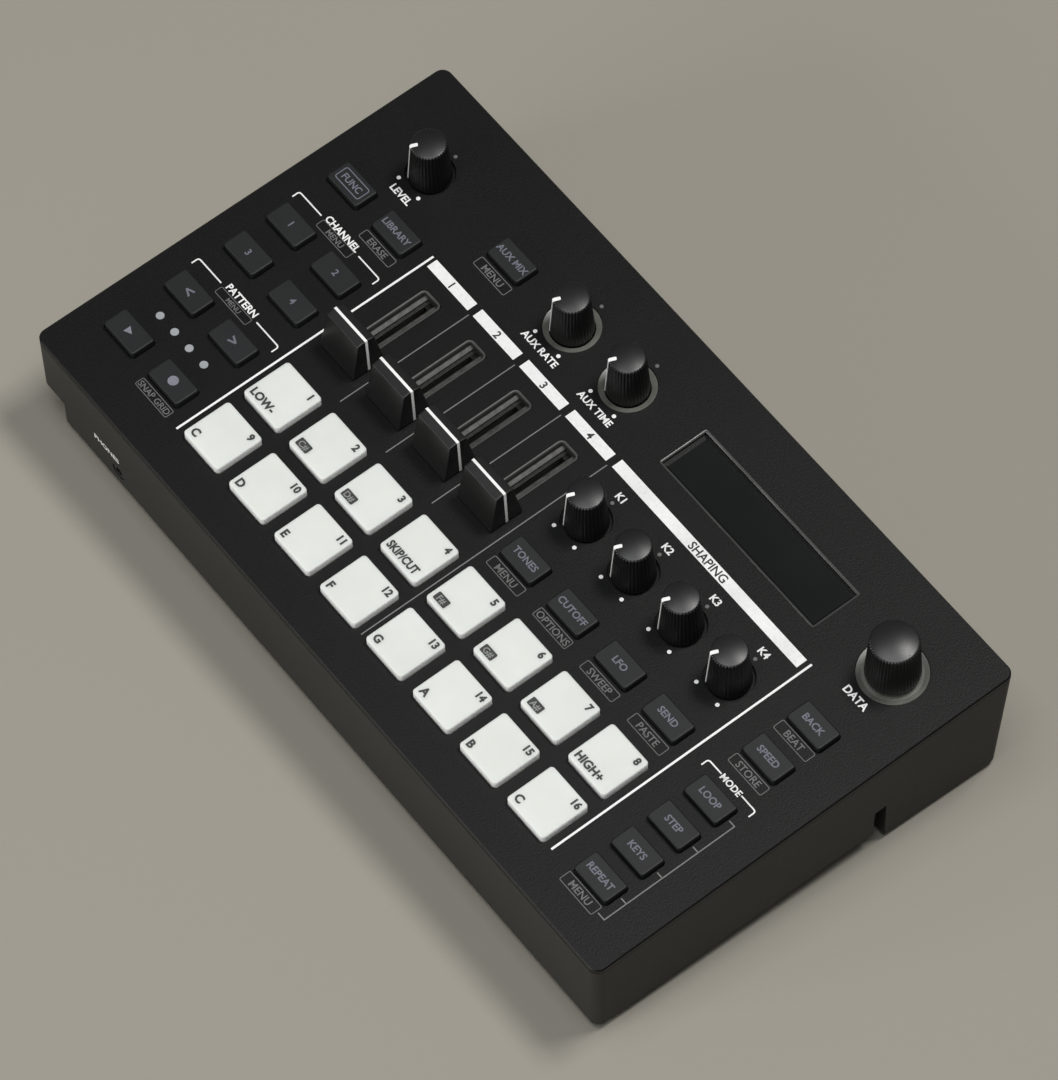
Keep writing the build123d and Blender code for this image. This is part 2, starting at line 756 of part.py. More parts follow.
# ---------------------------------------------------------------- connectors
def nosed_body(u, body, nose):
    """A connector body behind the rear wall with a round nose in the wall's hole."""
    x = case_x(u)
    length, depth, height = body
    low = connector_board_level()
    rear = rear_inner - face_sink
    solid = block(x - length / 2, x + length / 2, rear - depth, rear, low, low + height)
    return solid + along_y(x, jack_height, rear - 1, rear_y - face_sink, nose)


def output_jack(u):
    face = rear_y - face_sink
    return nosed_body(u, output_body, output_nose) - along_y(
        case_x(u), jack_height, face - output_bore_depth, face + 1, output_bore)


def din_socket(u):
    """Round five-pin socket: a blind bore with five pin holes in its floor."""
    face = rear_y - face_sink
    floor = face - din_bore_depth
    x = case_x(u)
    socket = nosed_body(u, din_body, din_nose) - along_y(x, jack_height, floor, face + 1, din_bore)
    for k in range(5):
        a = radians(180 + 45 * k)
        px, pz = x + din_pin_circle / 2 * cos(a), jack_height + din_pin_circle / 2 * sin(a)
        socket -= along_y(px, pz, floor - din_pin_depth, floor + 1, din_pin_diameter)
    return socket


def usb_socket():
    x, low, rear = case_x(usb_column), connector_board_level(), rear_inner - face_sink
    length, depth, height = usb_body
    body = block(x - length / 2, x + length / 2, rear - depth, rear, low, low + height + 1.2)
    width, tall = usb_opening
    body -= block(x - width / 2, x + width / 2, rear - usb_depth, rear + 1,
                  jack_height - tall / 2, jack_height + tall / 2)
    tongue_width, tongue_length, tongue_height = usb_tongue
    return body + block(x - tongue_width / 2, x + tongue_width / 2, rear - usb_depth - 0.5,
                        rear - usb_depth + tongue_length,
                        jack_height - tongue_height / 2, jack_height + tongue_height / 2)


def card_socket():
    x, low, rear = case_x(card_column), connector_board_level(), rear_inner - face_sink
    length, depth, height = card_body
    top = jack_height + height / 2
    body = block(x - length / 2, x + length / 2, rear - depth, rear, jack_height - height / 2, top)
    body += block(x - length / 2, x + length / 2, rear - depth, rear - depth + 6, low, jack_height)
    width, tall = card_opening
    return body - block(x - width / 2, x + width / 2, rear - card_depth, rear + 1,
                        jack_height - tall / 2, jack_height + tall / 2)


def switch_housing():
    """Housing of the power switch, with the track that its slider runs in."""
    x, low, rear = case_x(power_column), connector_board_level(), rear_inner - face_sink
    length, depth, height = power_body
    body = block(x - length / 2, x + length / 2, rear - depth, rear, low, jack_height + height / 2)
    reach = power_nub[0] / 2 + power_travel / 2 + stop_clearance
    tall = power_nub[1] / 2 + stop_clearance
    return body - block(x - reach, x + reach, rear - power_nub_depth, rear + 1,
                        jack_height - tall, jack_height + tall)


def make_power_switch():
    """Slider of the power switch, at the off end of its track."""
    x = case_x(power_column) - power_travel / 2
    tall = power_nub[1] / 2
    return block(x - power_nub[0] / 2, x + power_nub[0] / 2,
                 rear_inner - face_sink - power_nub_depth + stop_clearance, rear_y - face_sink,
                 jack_height - tall, jack_height + tall)


def phones_jack():
    """Small jack behind the front wall; it stands on the case floor and its board backs it."""
    length, depth, height = phones_body
    front = wall + 0.2
    body = block(phones_u - length / 2, phones_u + length / 2, front, front + depth,
                 -phones_drop - height / 2, -phones_drop + height / 2)
    nose = Pos(phones_u, 0.3, -phones_drop) * Rot(-90, 0, 0) * Cylinder(
        phones_nose / 2, front, align=MIDDLE)
    bore = Pos(phones_u, -1, -phones_drop) * Rot(-90, 0, 0) * Cylinder(
        phones_bore / 2, phones_bore_depth + 1.3, align=MIDDLE)
    board = block(phones_u - 10, phones_u + 10, front + depth, front + depth + board_thickness,
                  -front_wall_depth + wall + 0.3, -phones_drop + 8)
    return [on_panel(body + nose - bore), on_panel(board)]


def make_connectors():
    top = connector_board_level()
    board = block(case_x(connector_board_left), case_x(connector_board_right),
                  rear_inner - connector_board_depth, rear_inner - 1, top - board_thickness, top)
    for place in bosses:
        board -= on_panel(rod(place, -90, 0, pillar_diameter + 2 * boss_gap))
    solids = [board]
    solids += [output_jack(u) for u in output_columns]
    solids += [din_socket(u) for u in din_columns]
    solids += [usb_socket(), card_socket(), switch_housing()]
    return solids + phones_jack()


# ---------------------------------------------------------------- underside
def make_battery_door():
    x0, x1, y0, y1 = door_places()
    low, high = leg_clearance, leg_clearance + door_thickness
    door = block(x0, x1, y0, y1, low, high)
    lip = low + (door_thickness - door_tongue_thickness) / 2
    door += block(x0 - door_tongue, x1 + door_tongue, y0, y1, lip, lip + door_tongue_thickness)
    grip = [block((x0 + x1) / 2 - 10, (x0 + x1) / 2 + 10, y0 + 6 + 3 * k, y0 + 7.2 + 3 * k,
                  low - 1, low + 0.6) for k in range(4)]
    for groove in grip:
        door -= groove
    return door


def make_feet(outer):
    """Four rubber feet whose tops follow the underside of the case."""
    solids = []
    front_y = side_point(0, 0)[0] + foot_inset_front
    for x in (-half_width + foot_inset_side, half_width - foot_inset_side):
        for y in (front_y, rear_y - foot_inset_rear):
            foot = Pos(x, y, 0) * Cylinder(foot_diameter / 2, 12, align=MIDDLE)
            foot = fillet(foot.edges().sort_by(Axis.Z)[0], foot_edge)
            solids.append(foot - outer)
    return solids


def make_screws():
    """Nine case screws and six board screws, each a pan head on a shank."""
    solids = []
    for p in bosses:
        seat = -boss_drop - pillar_web
        head = rod(p, seat - screw_head_height, seat, screw_head)
        solids.append(head + rod(p, seat - 0.1, -boss_drop + screw_length - 1, screw_shank))
    for p in board_posts:
        head = rod(p, board_bottom - board_screw_head_height, board_bottom, board_screw_head)
        solids.append(head + rod(p, board_bottom - 0.1, board_top + board_screw_length - 1,
                                 board_screw_shank))
    return solids


# ---------------------------------------------------------------- build and write
def write(name, solids):
    """Write one node: a single solid, or a group of separate solids."""
    group = solids if isinstance(solids, list) else [solids]
    parts = [s for shape in group for s in shape.solids()]
    shape = parts[0] if len(parts) == 1 else Compound(parts)
    export_step(shape, f"parts/{name}.step")


def main():
    os.makedirs("parts", exist_ok=True)
    outer = case_outer()
    write("lower_case", make_lower_case(outer))
    write("top_panel", on_panel(make_top_panel()))
    write("display_window", on_panel(make_display_window()))
    write("light_guides", [on_panel(s) for s in make_light_guides()])
    write("main_board", [on_panel(s) for s in make_main_board()])
    write("connectors", make_connectors())
    write("rubber_feet", make_feet(outer))
    write("screws", [on_panel(s) for s in make_screws()])
    write("battery_door", make_battery_door())
    write("power_switch", make_power_switch())
    for name, place in pads.items():
        write(name, on_panel(make_pad(place)))
    for name, place in buttons.items():
        write(name, on_panel(make_button(place)))
    for name, place in (plain_knobs | ringed_knobs).items():
        write(name, [on_panel(s) for s in make_small_knob(place)])
    write("knob_value", on_panel(make_value_knob()))
    write("encoder_plunger", on_panel(make_encoder_plunger()))
    for name, u in faders.items():
        write(name, [on_panel(s) for s in make_fader(u)])


main()
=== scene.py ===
"""Looks of the desktop drum machine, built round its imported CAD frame.

Panel measures are in millimetres in the panel's own frame: u runs right along the front edge, v runs
back, w rises square to the panel, and (0, 0, 0) is the front left corner of its top face.  in_place()
turns them into metres in the object's frame.  Every new piece is a surface worked out with numpy.
"""

import math

import bmesh
import bpy
import numpy as np
from mathutils import Euler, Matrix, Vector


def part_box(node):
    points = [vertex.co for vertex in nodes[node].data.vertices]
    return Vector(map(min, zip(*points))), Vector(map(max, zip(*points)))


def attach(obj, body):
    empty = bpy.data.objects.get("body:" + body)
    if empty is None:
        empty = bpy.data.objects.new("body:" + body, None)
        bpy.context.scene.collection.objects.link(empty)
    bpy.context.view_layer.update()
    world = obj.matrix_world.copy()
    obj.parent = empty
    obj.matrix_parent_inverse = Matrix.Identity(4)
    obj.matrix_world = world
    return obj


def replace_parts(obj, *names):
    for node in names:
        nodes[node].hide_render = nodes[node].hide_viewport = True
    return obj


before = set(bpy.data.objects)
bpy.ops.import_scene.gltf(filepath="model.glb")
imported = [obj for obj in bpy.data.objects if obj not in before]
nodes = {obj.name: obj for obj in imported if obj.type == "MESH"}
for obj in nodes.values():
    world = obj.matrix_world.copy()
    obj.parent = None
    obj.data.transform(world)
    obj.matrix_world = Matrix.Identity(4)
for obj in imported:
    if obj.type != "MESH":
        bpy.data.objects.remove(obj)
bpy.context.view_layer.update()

# ---------------------------------------------------------------- measures shared with the CAD part
TILT = math.radians(4.5)
CASE_WIDTH = 325.0
PANEL_DEPTH = 186.0
PANEL_LIFT = 45.9 * math.cos(TILT)
LID_EDGE = 0.5
LID_AND_SEAM = 2.5
MIDDLE_Y = (LID_EDGE * math.sin(TILT) + PANEL_DEPTH * math.cos(TILT) + LID_AND_SEAM * math.sin(TILT)) / 2
COLUMNS = [77.3 + k * 26.68 for k in range(8)]
PAD_ROWS = {"rear": 53.6, "front": 27.0}
KNOB_ROW = 153.1
CONTROL_ROW = 107.3
RIGHT_COLUMN = 297.7
PAD_TOP = 3.0
BUTTON_TOP = 2.8
FADER_REST = 84.9
BOARD_TOP = -11.8              # a little above the main board's top face, which is at -12
INK = 0.03                     # how far a printed layer stands above its surface
SUNK = 0.02                    # how far it reaches into that surface
MM = 0.001

BUTTONS = {
    "play": (21.4, 26.7), "record": (48.0, 26.7), "step_back": (21.4, 53.5), "step_forward": (48.0, 53.5),
    "track_3": (21.4, 80.2), "track_4": (48.0, 80.2), "track_1": (21.4, 99.5), "track_2": (48.0, 99.5),
    "shift": (21.4, 127.3), "song": (48.0, 127.3), "effects": (83.4, 152.8),
    "sound": (COLUMNS[4], 80.2), "filter": (COLUMNS[5], 80.2), "modulation": (COLUMNS[6], 80.2),
    "send": (COLUMNS[7], 80.2), "exit": (RIGHT_COLUMN, 117.6), "tempo": (RIGHT_COLUMN, 97.5),
    "clip": (RIGHT_COLUMN, 71.8), "sequence": (RIGHT_COLUMN, 55.8), "note": (RIGHT_COLUMN, 39.8),
    "roll": (RIGHT_COLUMN, 23.8),
}
SMALL_KNOBS = {"knob_level": (34.3, KNOB_ROW), "knob_effect_1": (117.8, KNOB_ROW),
               "knob_effect_2": (149.8, KNOB_ROW)}
SMALL_KNOBS |= {f"knob_control_{k + 1}": (COLUMNS[k + 4], CONTROL_ROW) for k in range(4)}


def in_place(points):
    """Panel millimetres (..., 3) turned by the panel's tilt about x, lifted and centred, in metres."""
    u, v, w = np.moveaxis(np.asarray(points, float), -1, 0)
    x = u - CASE_WIDTH / 2
    y = v * math.cos(TILT) - w * math.sin(TILT) - MIDDLE_Y
    z = v * math.sin(TILT) + w * math.cos(TILT) + PANEL_LIFT
    return np.stack([x, y, z], axis=-1) * MM


# ---------------------------------------------------------------- camera, light and floor
def add_camera():
    """A long lens that looks down from beyond the front right corner."""
    camera = bpy.data.cameras.new("camera")
    camera.sensor_width = 36.0
    camera.lens = 206.97
    camera.clip_end = 20.0
    view = bpy.data.objects.new("camera", camera)
    view.location = (0.8813, -0.7907, 1.8996)
    view.rotation_euler = Euler([math.radians(a) for a in (32.23, -2.5688, 51.9127)])
    bpy.context.scene.collection.objects.link(view)
    bpy.context.scene.camera = view


def add_light(name, place, aim, length, width, power, colour=(1, 1, 1)):
    """A soft area light at place that faces aim, length across and width deep."""
    light = bpy.data.lights.new(name, "AREA")
    light.shape = "RECTANGLE"
    light.size = length
    light.size_y = width
    light.energy = power
    light.color = colour
    lamp = bpy.data.objects.new(name, light)
    direction = np.array(aim, float) - np.array(place, float)
    lamp.location = place
    flat = math.hypot(direction[0], direction[1])
    lamp.rotation_euler = Euler((math.atan2(flat, -direction[2]), 0.0,
                                 math.atan2(direction[1], direction[0]) - math.pi / 2))
    bpy.context.scene.collection.objects.link(lamp)


def add_world(strength, colour):
    """Even light from all sides."""
    world = bpy.data.worlds.new("studio")
    world.use_nodes = True
    ground = world.node_tree.nodes["Background"]
    ground.inputs["Color"].default_value = (*colour, 1)
    ground.inputs["Strength"].default_value = strength
    bpy.context.scene.world = world


def add_floor():
    """A plain pale floor at z = 0."""
    half = 6.0
    mesh = bpy.data.meshes.new("floor")
    mesh.from_pydata([(-half, -half, 0), (half, -half, 0), (half, half, 0), (-half, half, 0)], [],
                     [(0, 1, 2, 3)])
    floor = bpy.data.objects.new("floor", mesh)
    bpy.context.scene.collection.objects.link(floor)
    material = bpy.data.materials.new("floor_paper")
    material.use_nodes = True
    shader = material.node_tree.nodes["Principled BSDF"]
    shader.inputs["Base Color"].default_value = (0.312, 0.293, 0.252, 1)
    shader.inputs["Roughness"].default_value = 0.9
    mesh.materials.append(material)


bpy.context.scene.view_settings.view_transform = "Standard"
add_camera()
add_world(0.08, (0.95, 0.97, 1.0))
add_light("ceiling_light", (0.20, -0.58, 2.5), (0.20, -0.5799, 0), 1.7, 1.15, 29, (0.98, 0.99, 1.0))
add_light("rear_light", (0.25, 0.76, 2.3), (0, 0, 0), 0.7, 0.5, 31, (1.0, 0.985, 0.96))
add_light("front_light", (-0.3, -2.5, 0.7), (0, 0, 0), 1.7, 0.8, 36, (1.0, 0.99, 0.96))
add_floor()


# ---------------------------------------------------------------- surfaces
def grid_faces(rows, columns, wrap_rows=False, wrap_columns=False):
    """Corner numbers of the quads of a rows x columns grid of points, row by row."""
    r = np.arange(rows if wrap_rows else rows - 1)
    c = np.arange(columns if wrap_columns else columns - 1)
    r, c = np.meshgrid(r, c, indexing="ij")
    r_next, c_next = (r + 1) % rows, (c + 1) % columns
    quads = [r * columns + c, r * columns + c_next, r_next * columns + c_next, r_next * columns + c]
    return np.stack([q.ravel() for q in quads], axis=-1)


class Shapes:
    """Gathers closed shapes, each with a material number, into one mesh."""

    def __init__(self):
        self.points, self.faces, self.numbers, self.count = [], [], [], 0

    def add(self, points, faces, number=0):
        """Takes in one shape; its faces count from its own first point."""
        points = np.asarray(points, float).reshape(-1, 3)
        self.points.append(points)
        self.faces += [tuple(int(i) + self.count for i in face) for face in faces]
        self.numbers += [number] * len(faces)
        self.count += len(points)
        return self

    def grid(self, points, wrap_rows=False, wrap_columns=False, number=0):
        """Takes in a (rows, columns, 3) grid of points as quads."""
        rows, columns = points.shape[:2]
        return self.add(points, grid_faces(rows, columns, wrap_rows, wrap_columns), number)

    def piece(self, name, body, materials, smooth=35.0, placed=in_place, weld=2e-7):
        """Puts the shapes in place, welds doubles, turns faces outward and rides them on the body."""
        mesh = bpy.data.meshes.new(name)
        mesh.from_pydata(placed(np.concatenate(self.points)).tolist(), [], self.faces)
        mesh.polygons.foreach_set("material_index", self.numbers)
        for material in materials:
            mesh.materials.append(material)
        work = bmesh.new()
        work.from_mesh(mesh)
        bmesh.ops.remove_doubles(work, verts=work.verts, dist=weld)
        bmesh.ops.recalc_face_normals(work, faces=work.faces)
        work.to_mesh(mesh)
        work.free()
        mesh.polygons.foreach_set("use_smooth", np.ones(len(mesh.polygons), bool))
        mesh.set_sharp_from_angle(angle=math.radians(smooth))
        thing = bpy.data.objects.new(name, mesh)
        bpy.context.scene.collection.objects.link(thing)
        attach(thing, body)
        return thing


def carried(path, half_width, low, high, closed=False):
    """A rectangle carried along a flat path (n, 2): each point gives four corners, set out along the
    mitre of its two runs by half_width, at the levels low and high.  The ends are capped square."""
    path = np.asarray(path, float)
    if closed:
        before, after = np.roll(path, 1, axis=0), np.roll(path, -1, axis=0)
    else:
        before = np.vstack([2 * path[0] - path[1], path[:-1]])
        after = np.vstack([path[1:], 2 * path[-1] - path[-2]])
    run_in = path - before
    run_out = after - path
    run_in /= np.linalg.norm(run_in, axis=1, keepdims=True)
    run_out /= np.linalg.norm(run_out, axis=1, keepdims=True)
    side_in = np.stack([-run_in[:, 1], run_in[:, 0]], axis=1)
    side_out = np.stack([-run_out[:, 1], run_out[:, 0]], axis=1)
    mitre = side_in + side_out
    mitre /= (1 + np.sum(side_in * side_out, axis=1, keepdims=True))
    left, right = path + mitre * half_width, path - mitre * half_width
    level = np.ones((len(path), 1))
    ring = [np.hstack([left, low * level]), np.hstack([right, low * level]),
            np.hstack([right, high * level]), np.hstack([left, high * level])]
    points = np.stack(ring, axis=1)
    faces = grid_faces(len(path), 4, wrap_rows=closed, wrap_columns=True).tolist()
    if not closed:
        last = 4 * (len(path) - 1)
        faces += [(0, 1, 2, 3), (last + 3, last + 2, last + 1, last)]
    return points, faces


def rounded_loop(middle, length, width, radius, steps=5):
    """Points round a rectangle whose corners are quarter circles of the given radius."""
    turn = np.linspace(0, math.pi / 2, steps)
    corners = []
    for k, (sx, sy) in enumerate(((1, 1), (-1, 1), (-1, -1), (1, -1))):
        cx, cy = middle[0] + sx * (length / 2 - radius), middle[1] + sy * (width / 2 - radius)
        a = turn + k * math.pi / 2
        corners.append(np.stack([cx + radius * np.cos(a), cy + radius * np.sin(a)], axis=1))
    return np.vstack(corners)


def filled(loop, low, high):
    """A flat loop (n, 2) raised into a plate: the loop at two levels, with a face over each."""
    n = len(loop)
    points = np.vstack([np.hstack([loop, np.full((n, 1), level)]) for level in (low, high)])
    walls = [(k, (k + 1) % n, n + (k + 1) % n, n + k) for k in range(n)]
    return points, walls + [tuple(range(n))[::-1], tuple(range(n, 2 * n))]


def disc_loop(middle, diameter, steps=24):
    """Points round a circle."""
    a = np.linspace(0, 2 * math.pi, steps, endpoint=False)
    return np.stack([middle[0] + diameter / 2 * np.cos(a), middle[1] + diameter / 2 * np.sin(a)], axis=1)


def turned(middle, profile, steps=96, ribs=0, depth=None):
    """A profile of (radius, height) rows turned about an upright axis.  With ribs, the radius of each
    row is cut by depth[row] times (1 - |cos(ribs * angle / 2)|), so crests stay at full size."""
    a = np.linspace(0, 2 * math.pi, steps, endpoint=False)
    profile = np.asarray(profile, float)
    radius = profile[:, :1] * np.ones((1, steps))
    if ribs:
        radius = radius - np.asarray(depth)[:, None] * (1 - np.abs(np.cos(ribs * a / 2)))[None, :]
    return np.stack([middle[0] + radius * np.cos(a), middle[1] + radius * np.sin(a),
                     profile[:, 1:] * np.ones((1, steps))], axis=-1)


CAP_SHARE = 0.729              # cap height of the built-in font at size 1


def letters(text, middle, height, bold=0.0, stretch=1.0, low=-SUNK, high=INK, align="CENTER"):
    """Text as closed plates between the levels low and high.  Its capitals are height tall and centred
    on middle; across, it is centred there or starts there, as align says."""
    curve = bpy.data.curves.new("letters", "FONT")
    curve.body = text
    curve.size = 1.0
    curve.extrude = 0.5
    curve.offset = bold
    curve.resolution_u = 3
    curve.align_x = align
    writing = bpy.data.objects.new("letters", curve)
    bpy.context.scene.collection.objects.link(writing)
    view = bpy.context.evaluated_depsgraph_get()
    mesh = bpy.data.meshes.new_from_object(writing.evaluated_get(view))
    points = np.empty(len(mesh.vertices) * 3)
    mesh.vertices.foreach_get("co", points)
    points = points.reshape(-1, 3)
    faces = [tuple(p.vertices) for p in mesh.polygons]
    bpy.data.objects.remove(writing)
    bpy.data.curves.remove(curve)
    bpy.data.meshes.remove(mesh)
    scale = height / CAP_SHARE
    span = points[:, 0].max() + points[:, 0].min()
    shift = span / 2 if align == "CENTER" else points[:, 0].min()
    flat_u = middle[0] + (points[:, 0] - shift) * scale * stretch
    flat_v = middle[1] + (points[:, 1] - CAP_SHARE / 2) * scale
    level = np.where(points[:, 2] > 0, high, low)
    return np.stack([flat_u, flat_v, level], axis=1), faces


# ---------------------------------------------------------------- finishes
def finish_nodes(name):
    """A new material with its node tree and its shader."""
    material = bpy.data.materials.new(name)
    material.use_nodes = True
    tree = material.node_tree
    return material, tree, tree.nodes["Principled BSDF"]


def noise(tree, scale, detail=3.0, rough=0.55, stretch=(1, 1, 1)):
    """Noise on object coordinates, in cycles per metre."""
    place = tree.nodes.new("ShaderNodeTexCoord")
    turn = tree.nodes.new("ShaderNodeMapping")
    turn.inputs["Scale"].default_value = stretch
    grain = tree.nodes.new("ShaderNodeTexNoise")
    grain.inputs["Scale"].default_value = scale
    grain.inputs["Detail"].default_value = detail
    grain.inputs["Roughness"].default_value = rough
    tree.links.new(place.outputs["Object"], turn.inputs["Vector"])
    tree.links.new(turn.outputs["Vector"], grain.inputs["Vector"])
    return grain.outputs["Fac"]


def ramp(tree, fac, stops):
    """A colour ramp: stops are (position, colour)."""
    node = tree.nodes.new("ShaderNodeValToRGB")
    bar = node.color_ramp.elements
    while len(bar) < len(stops):
        bar.new(0.5)
    for element, (position, colour) in zip(bar, stops):
        element.position = position
        element.color = (*colour, 1)
    tree.links.new(fac, node.inputs["Fac"])
    return node.outputs["Color"]


def grey(value):
    """The colour with three equal parts."""
    return (value, value, value)


def panel_share(tree, low, high):
    """Runs from 0 at the level low to 1 at the level high, both measured square to the panel: a dot
    product of Object coordinates with the panel's upward direction, mapped between the two levels."""
    place = tree.nodes.new("ShaderNodeTexCoord")
    across = tree.nodes.new("ShaderNodeVectorMath")
    across.operation = "DOT_PRODUCT"
    across.inputs[1].default_value = (0, -math.sin(TILT), math.cos(TILT))
    tree.links.new(place.outputs["Object"], across.inputs[0])
    share = tree.nodes.new("ShaderNodeMapRange")
    base = PANEL_LIFT * math.cos(TILT) + MIDDLE_Y * math.sin(TILT)
    share.inputs["From Min"].default_value = (low + base) * MM
    share.inputs["From Max"].default_value = (high + base) * MM
    tree.links.new(across.outputs["Value"], share.inputs["Value"])
    return share.outputs["Result"]


def blend(tree, factor, first, second):
    """The first colour where the factor is 0 and the second where it is 1."""
    mix = tree.nodes.new("ShaderNodeMix")
    mix.data_type = "RGBA"
    tree.links.new(factor, mix.inputs["Factor"])
    tree.links.new(first, mix.inputs["A"])
    tree.links.new(second, mix.inputs["B"])
    return mix.outputs["Result"]


def bump(tree, shader, height, strength, distance):
    """Bump from the output height; distance is in metres."""
    node = tree.nodes.new("ShaderNodeBump")
    node.inputs["Strength"].default_value = strength
    node.inputs["Distance"].default_value = distance
    tree.links.new(height, node.inputs["Height"])
    tree.links.new(node.outputs["Normal"], shader.inputs["Normal"])


def grained(name, dark, light, rough, grain, depth, blotch=18.0, specular=0.5):
    """Moulded plastic: a slow mottle between two colours, roughness that follows a fine grain, and the
    grain itself as bump.  grain is in cycles per metre and depth in metres."""
    material, tree, shader = finish_nodes(name)
    mottle = noise(tree, blotch, 4.0)
    tree.links.new(ramp(tree, mottle, ((0.3, dark), (0.7, light))), shader.inputs["Base Color"])
    fine = noise(tree, grain, 3.0, 0.6)
    tree.links.new(ramp(tree, fine, ((0.3, grey(rough[0])), (0.7, grey(rough[1])))),
                   shader.inputs["Roughness"])
    bump(tree, shader, fine, 1.0, depth)
    shader.inputs["Specular IOR Level"].default_value = specular
    return material


def ink(name, dark, light):
    """Screen print: nearly even colour with a faint break-up at its own fine scale."""
    material, tree, shader = finish_nodes(name)
    tree.links.new(ramp(tree, noise(tree, 900, 4.0), ((0.25, dark), (0.6, light))),
                   shader.inputs["Base Color"])
    shader.inputs["Roughness"].default_value = 0.55
    bump(tree, shader, noise(tree, 2600, 2.0), 0.4, 0.00002)
    return material


panel_plastic = grained("panel_plastic", (0.0032, 0.0033, 0.0032), (0.0046, 0.0048, 0.0048), (0.39, 0.47),
                        1700, 0.00010, 9.0, specular=0.20)
case_plastic = grained("case_plastic", (0.0240, 0.0242, 0.0215), (0.0310, 0.0312, 0.0280), (0.50, 0.62),
                       2100, 0.00007, 11.0, specular=0.25)
button_plastic = grained("button_plastic", (0.0098, 0.0104, 0.0112), (0.0130, 0.0138, 0.0148), (0.42, 0.52),
                         2600, 0.00002, 40.0, specular=0.3)
knob_plastic = grained("knob_plastic", (0.0045, 0.0047, 0.0046), (0.0062, 0.0064, 0.0063), (0.36, 0.46),
                       3000, 0.00002, 60.0, specular=0.35)
# the crown's colour is lighter than knob_plastic's: painted light on the knob's top; its smoother finish is
# real
crown_plastic = grained("crown_plastic", (0.0075, 0.0077, 0.0084), (0.0105, 0.0107, 0.0116), (0.31, 0.40),
                        2600, 0.00001, 60.0, specular=0.5)
fader_plastic = grained("fader_plastic", (0.0072, 0.0077, 0.0073), (0.0102, 0.0108, 0.0103), (0.30, 0.40),
                        2600, 0.00002, 50.0, specular=0.42)
slot_felt = grained("slot_felt", (0.034, 0.034, 0.031), (0.100, 0.099, 0.092), (0.42, 0.6),
                    4200, 0.0001, 420.0)
slot_trim = grained("slot_trim", (0.0500, 0.0502, 0.0485), (0.0680, 0.0682, 0.0660), (0.36, 0.44),
                    2500, 0.00002, 120.0)
# the slot's inner wall is painted lighter than the rim: painted light falling on the wall
slot_wall = grained("slot_wall", (0.050, 0.050, 0.047), (0.085, 0.085, 0.080), (0.5, 0.65),
                    2500, 0.00003, 300.0)
slot_dark = grained("slot_dark", (0.007, 0.007, 0.006), (0.028, 0.028, 0.023), (0.7, 0.9),
                    3400, 0.00008, 900.0)
display_trim = grained("display_trim", (0.0480, 0.0482, 0.0470), (0.0600, 0.0602, 0.0590), (0.26, 0.33),
                       2500, 0.00001, 80.0)
rubber_black = grained("rubber_black", grey(0.012), grey(0.02), (0.7, 0.85), 1500, 0.00008)
white_ink = ink("white_ink", grey(0.76), grey(0.86))
grey_ink = ink("grey_ink", grey(0.105), grey(0.135))
line_ink = ink("line_ink", grey(0.15), grey(0.19))
button_ink = ink("button_ink", (0.105, 0.108, 0.135), (0.135, 0.140, 0.175))
button_ink_bright = ink("button_ink_bright", (0.155, 0.160, 0.195), (0.200, 0.205, 0.245))
black_ink = ink("black_ink", grey(0.012), grey(0.02))
pad_ink = ink("pad_ink", grey(0.022), grey(0.034))


def pad_silicone():
    """Milky silicone: soft light inside, a faint warmth and a fine tooth on the surface.  The sides are
    painted paler than the top below the rounded edge: a painted glow for the light that the thin sides
    pass."""
    material, tree, shader = finish_nodes("pad_silicone")
    mottle = noise(tree, 55, 3.0)
    # the side colour is a painted glow, paler than the top's
    side = ramp(tree, mottle, ((0.3, (0.95, 0.97, 0.93)), (0.7, (0.98, 0.99, 0.96))))
    top = ramp(tree, mottle, ((0.3, (0.69, 0.715, 0.680)), (0.7, (0.730, 0.755, 0.720))))
    tree.links.new(blend(tree, panel_share(tree, PAD_TOP - 0.7, PAD_TOP - 0.15), side, top),
                   shader.inputs["Base Color"])
    shader.inputs["Subsurface Weight"].default_value = 0.75
    shader.inputs["Subsurface Radius"].default_value = (0.0040, 0.0040, 0.0038)
    shader.inputs["Subsurface Scale"].default_value = 1.0
    fine = noise(tree, 2200, 3.0)
    tree.links.new(ramp(tree, fine, ((0.3, grey(0.42)), (0.7, grey(0.54)))), shader.inputs["Roughness"])
    bump(tree, shader, fine, 1.0, 0.00002)
    return material


def guide_plastic():
    """Frosted light guide: the rings are olive grey and the four small lights are paler."""
    material, tree, shader = finish_nodes("guide_plastic")
    place = tree.nodes.new("ShaderNodeTexCoord")
    split = tree.nodes.new("ShaderNodeSeparateXYZ")
    tree.links.new(place.outputs["Object"], split.inputs["Vector"])
    lights = tree.nodes.new("ShaderNodeMath")
    lights.operation = "LESS_THAN"
    lights.inputs[1].default_value = 0.0
    tree.links.new(split.outputs["Y"], lights.inputs[0])
    ring = ramp(tree, noise(tree, 160, 3.0), ((0.3, (0.105, 0.106, 0.094)), (0.7, (0.150, 0.150, 0.134))))
    mix = tree.nodes.new("ShaderNodeMix")
    mix.data_type = "RGBA"
    tree.links.new(lights.outputs["Value"], mix.inputs["Factor"])
    tree.links.new(ring, mix.inputs["A"])
    mix.inputs["B"].default_value = (0.34, 0.36, 0.38, 1)
    tree.links.new(mix.outputs["Result"], shader.inputs["Base Color"])
    fine = noise(tree, 1800, 2.0)
    tree.links.new(ramp(tree, fine, ((0.3, grey(0.30)), (0.7, grey(0.42)))), shader.inputs["Roughness"])
    bump(tree, shader, fine, 1.0, 0.00002)
    shader.inputs["Subsurface Weight"].default_value = 0.2
    shader.inputs["Subsurface Radius"].default_value = (0.001, 0.001, 0.001)
    return material


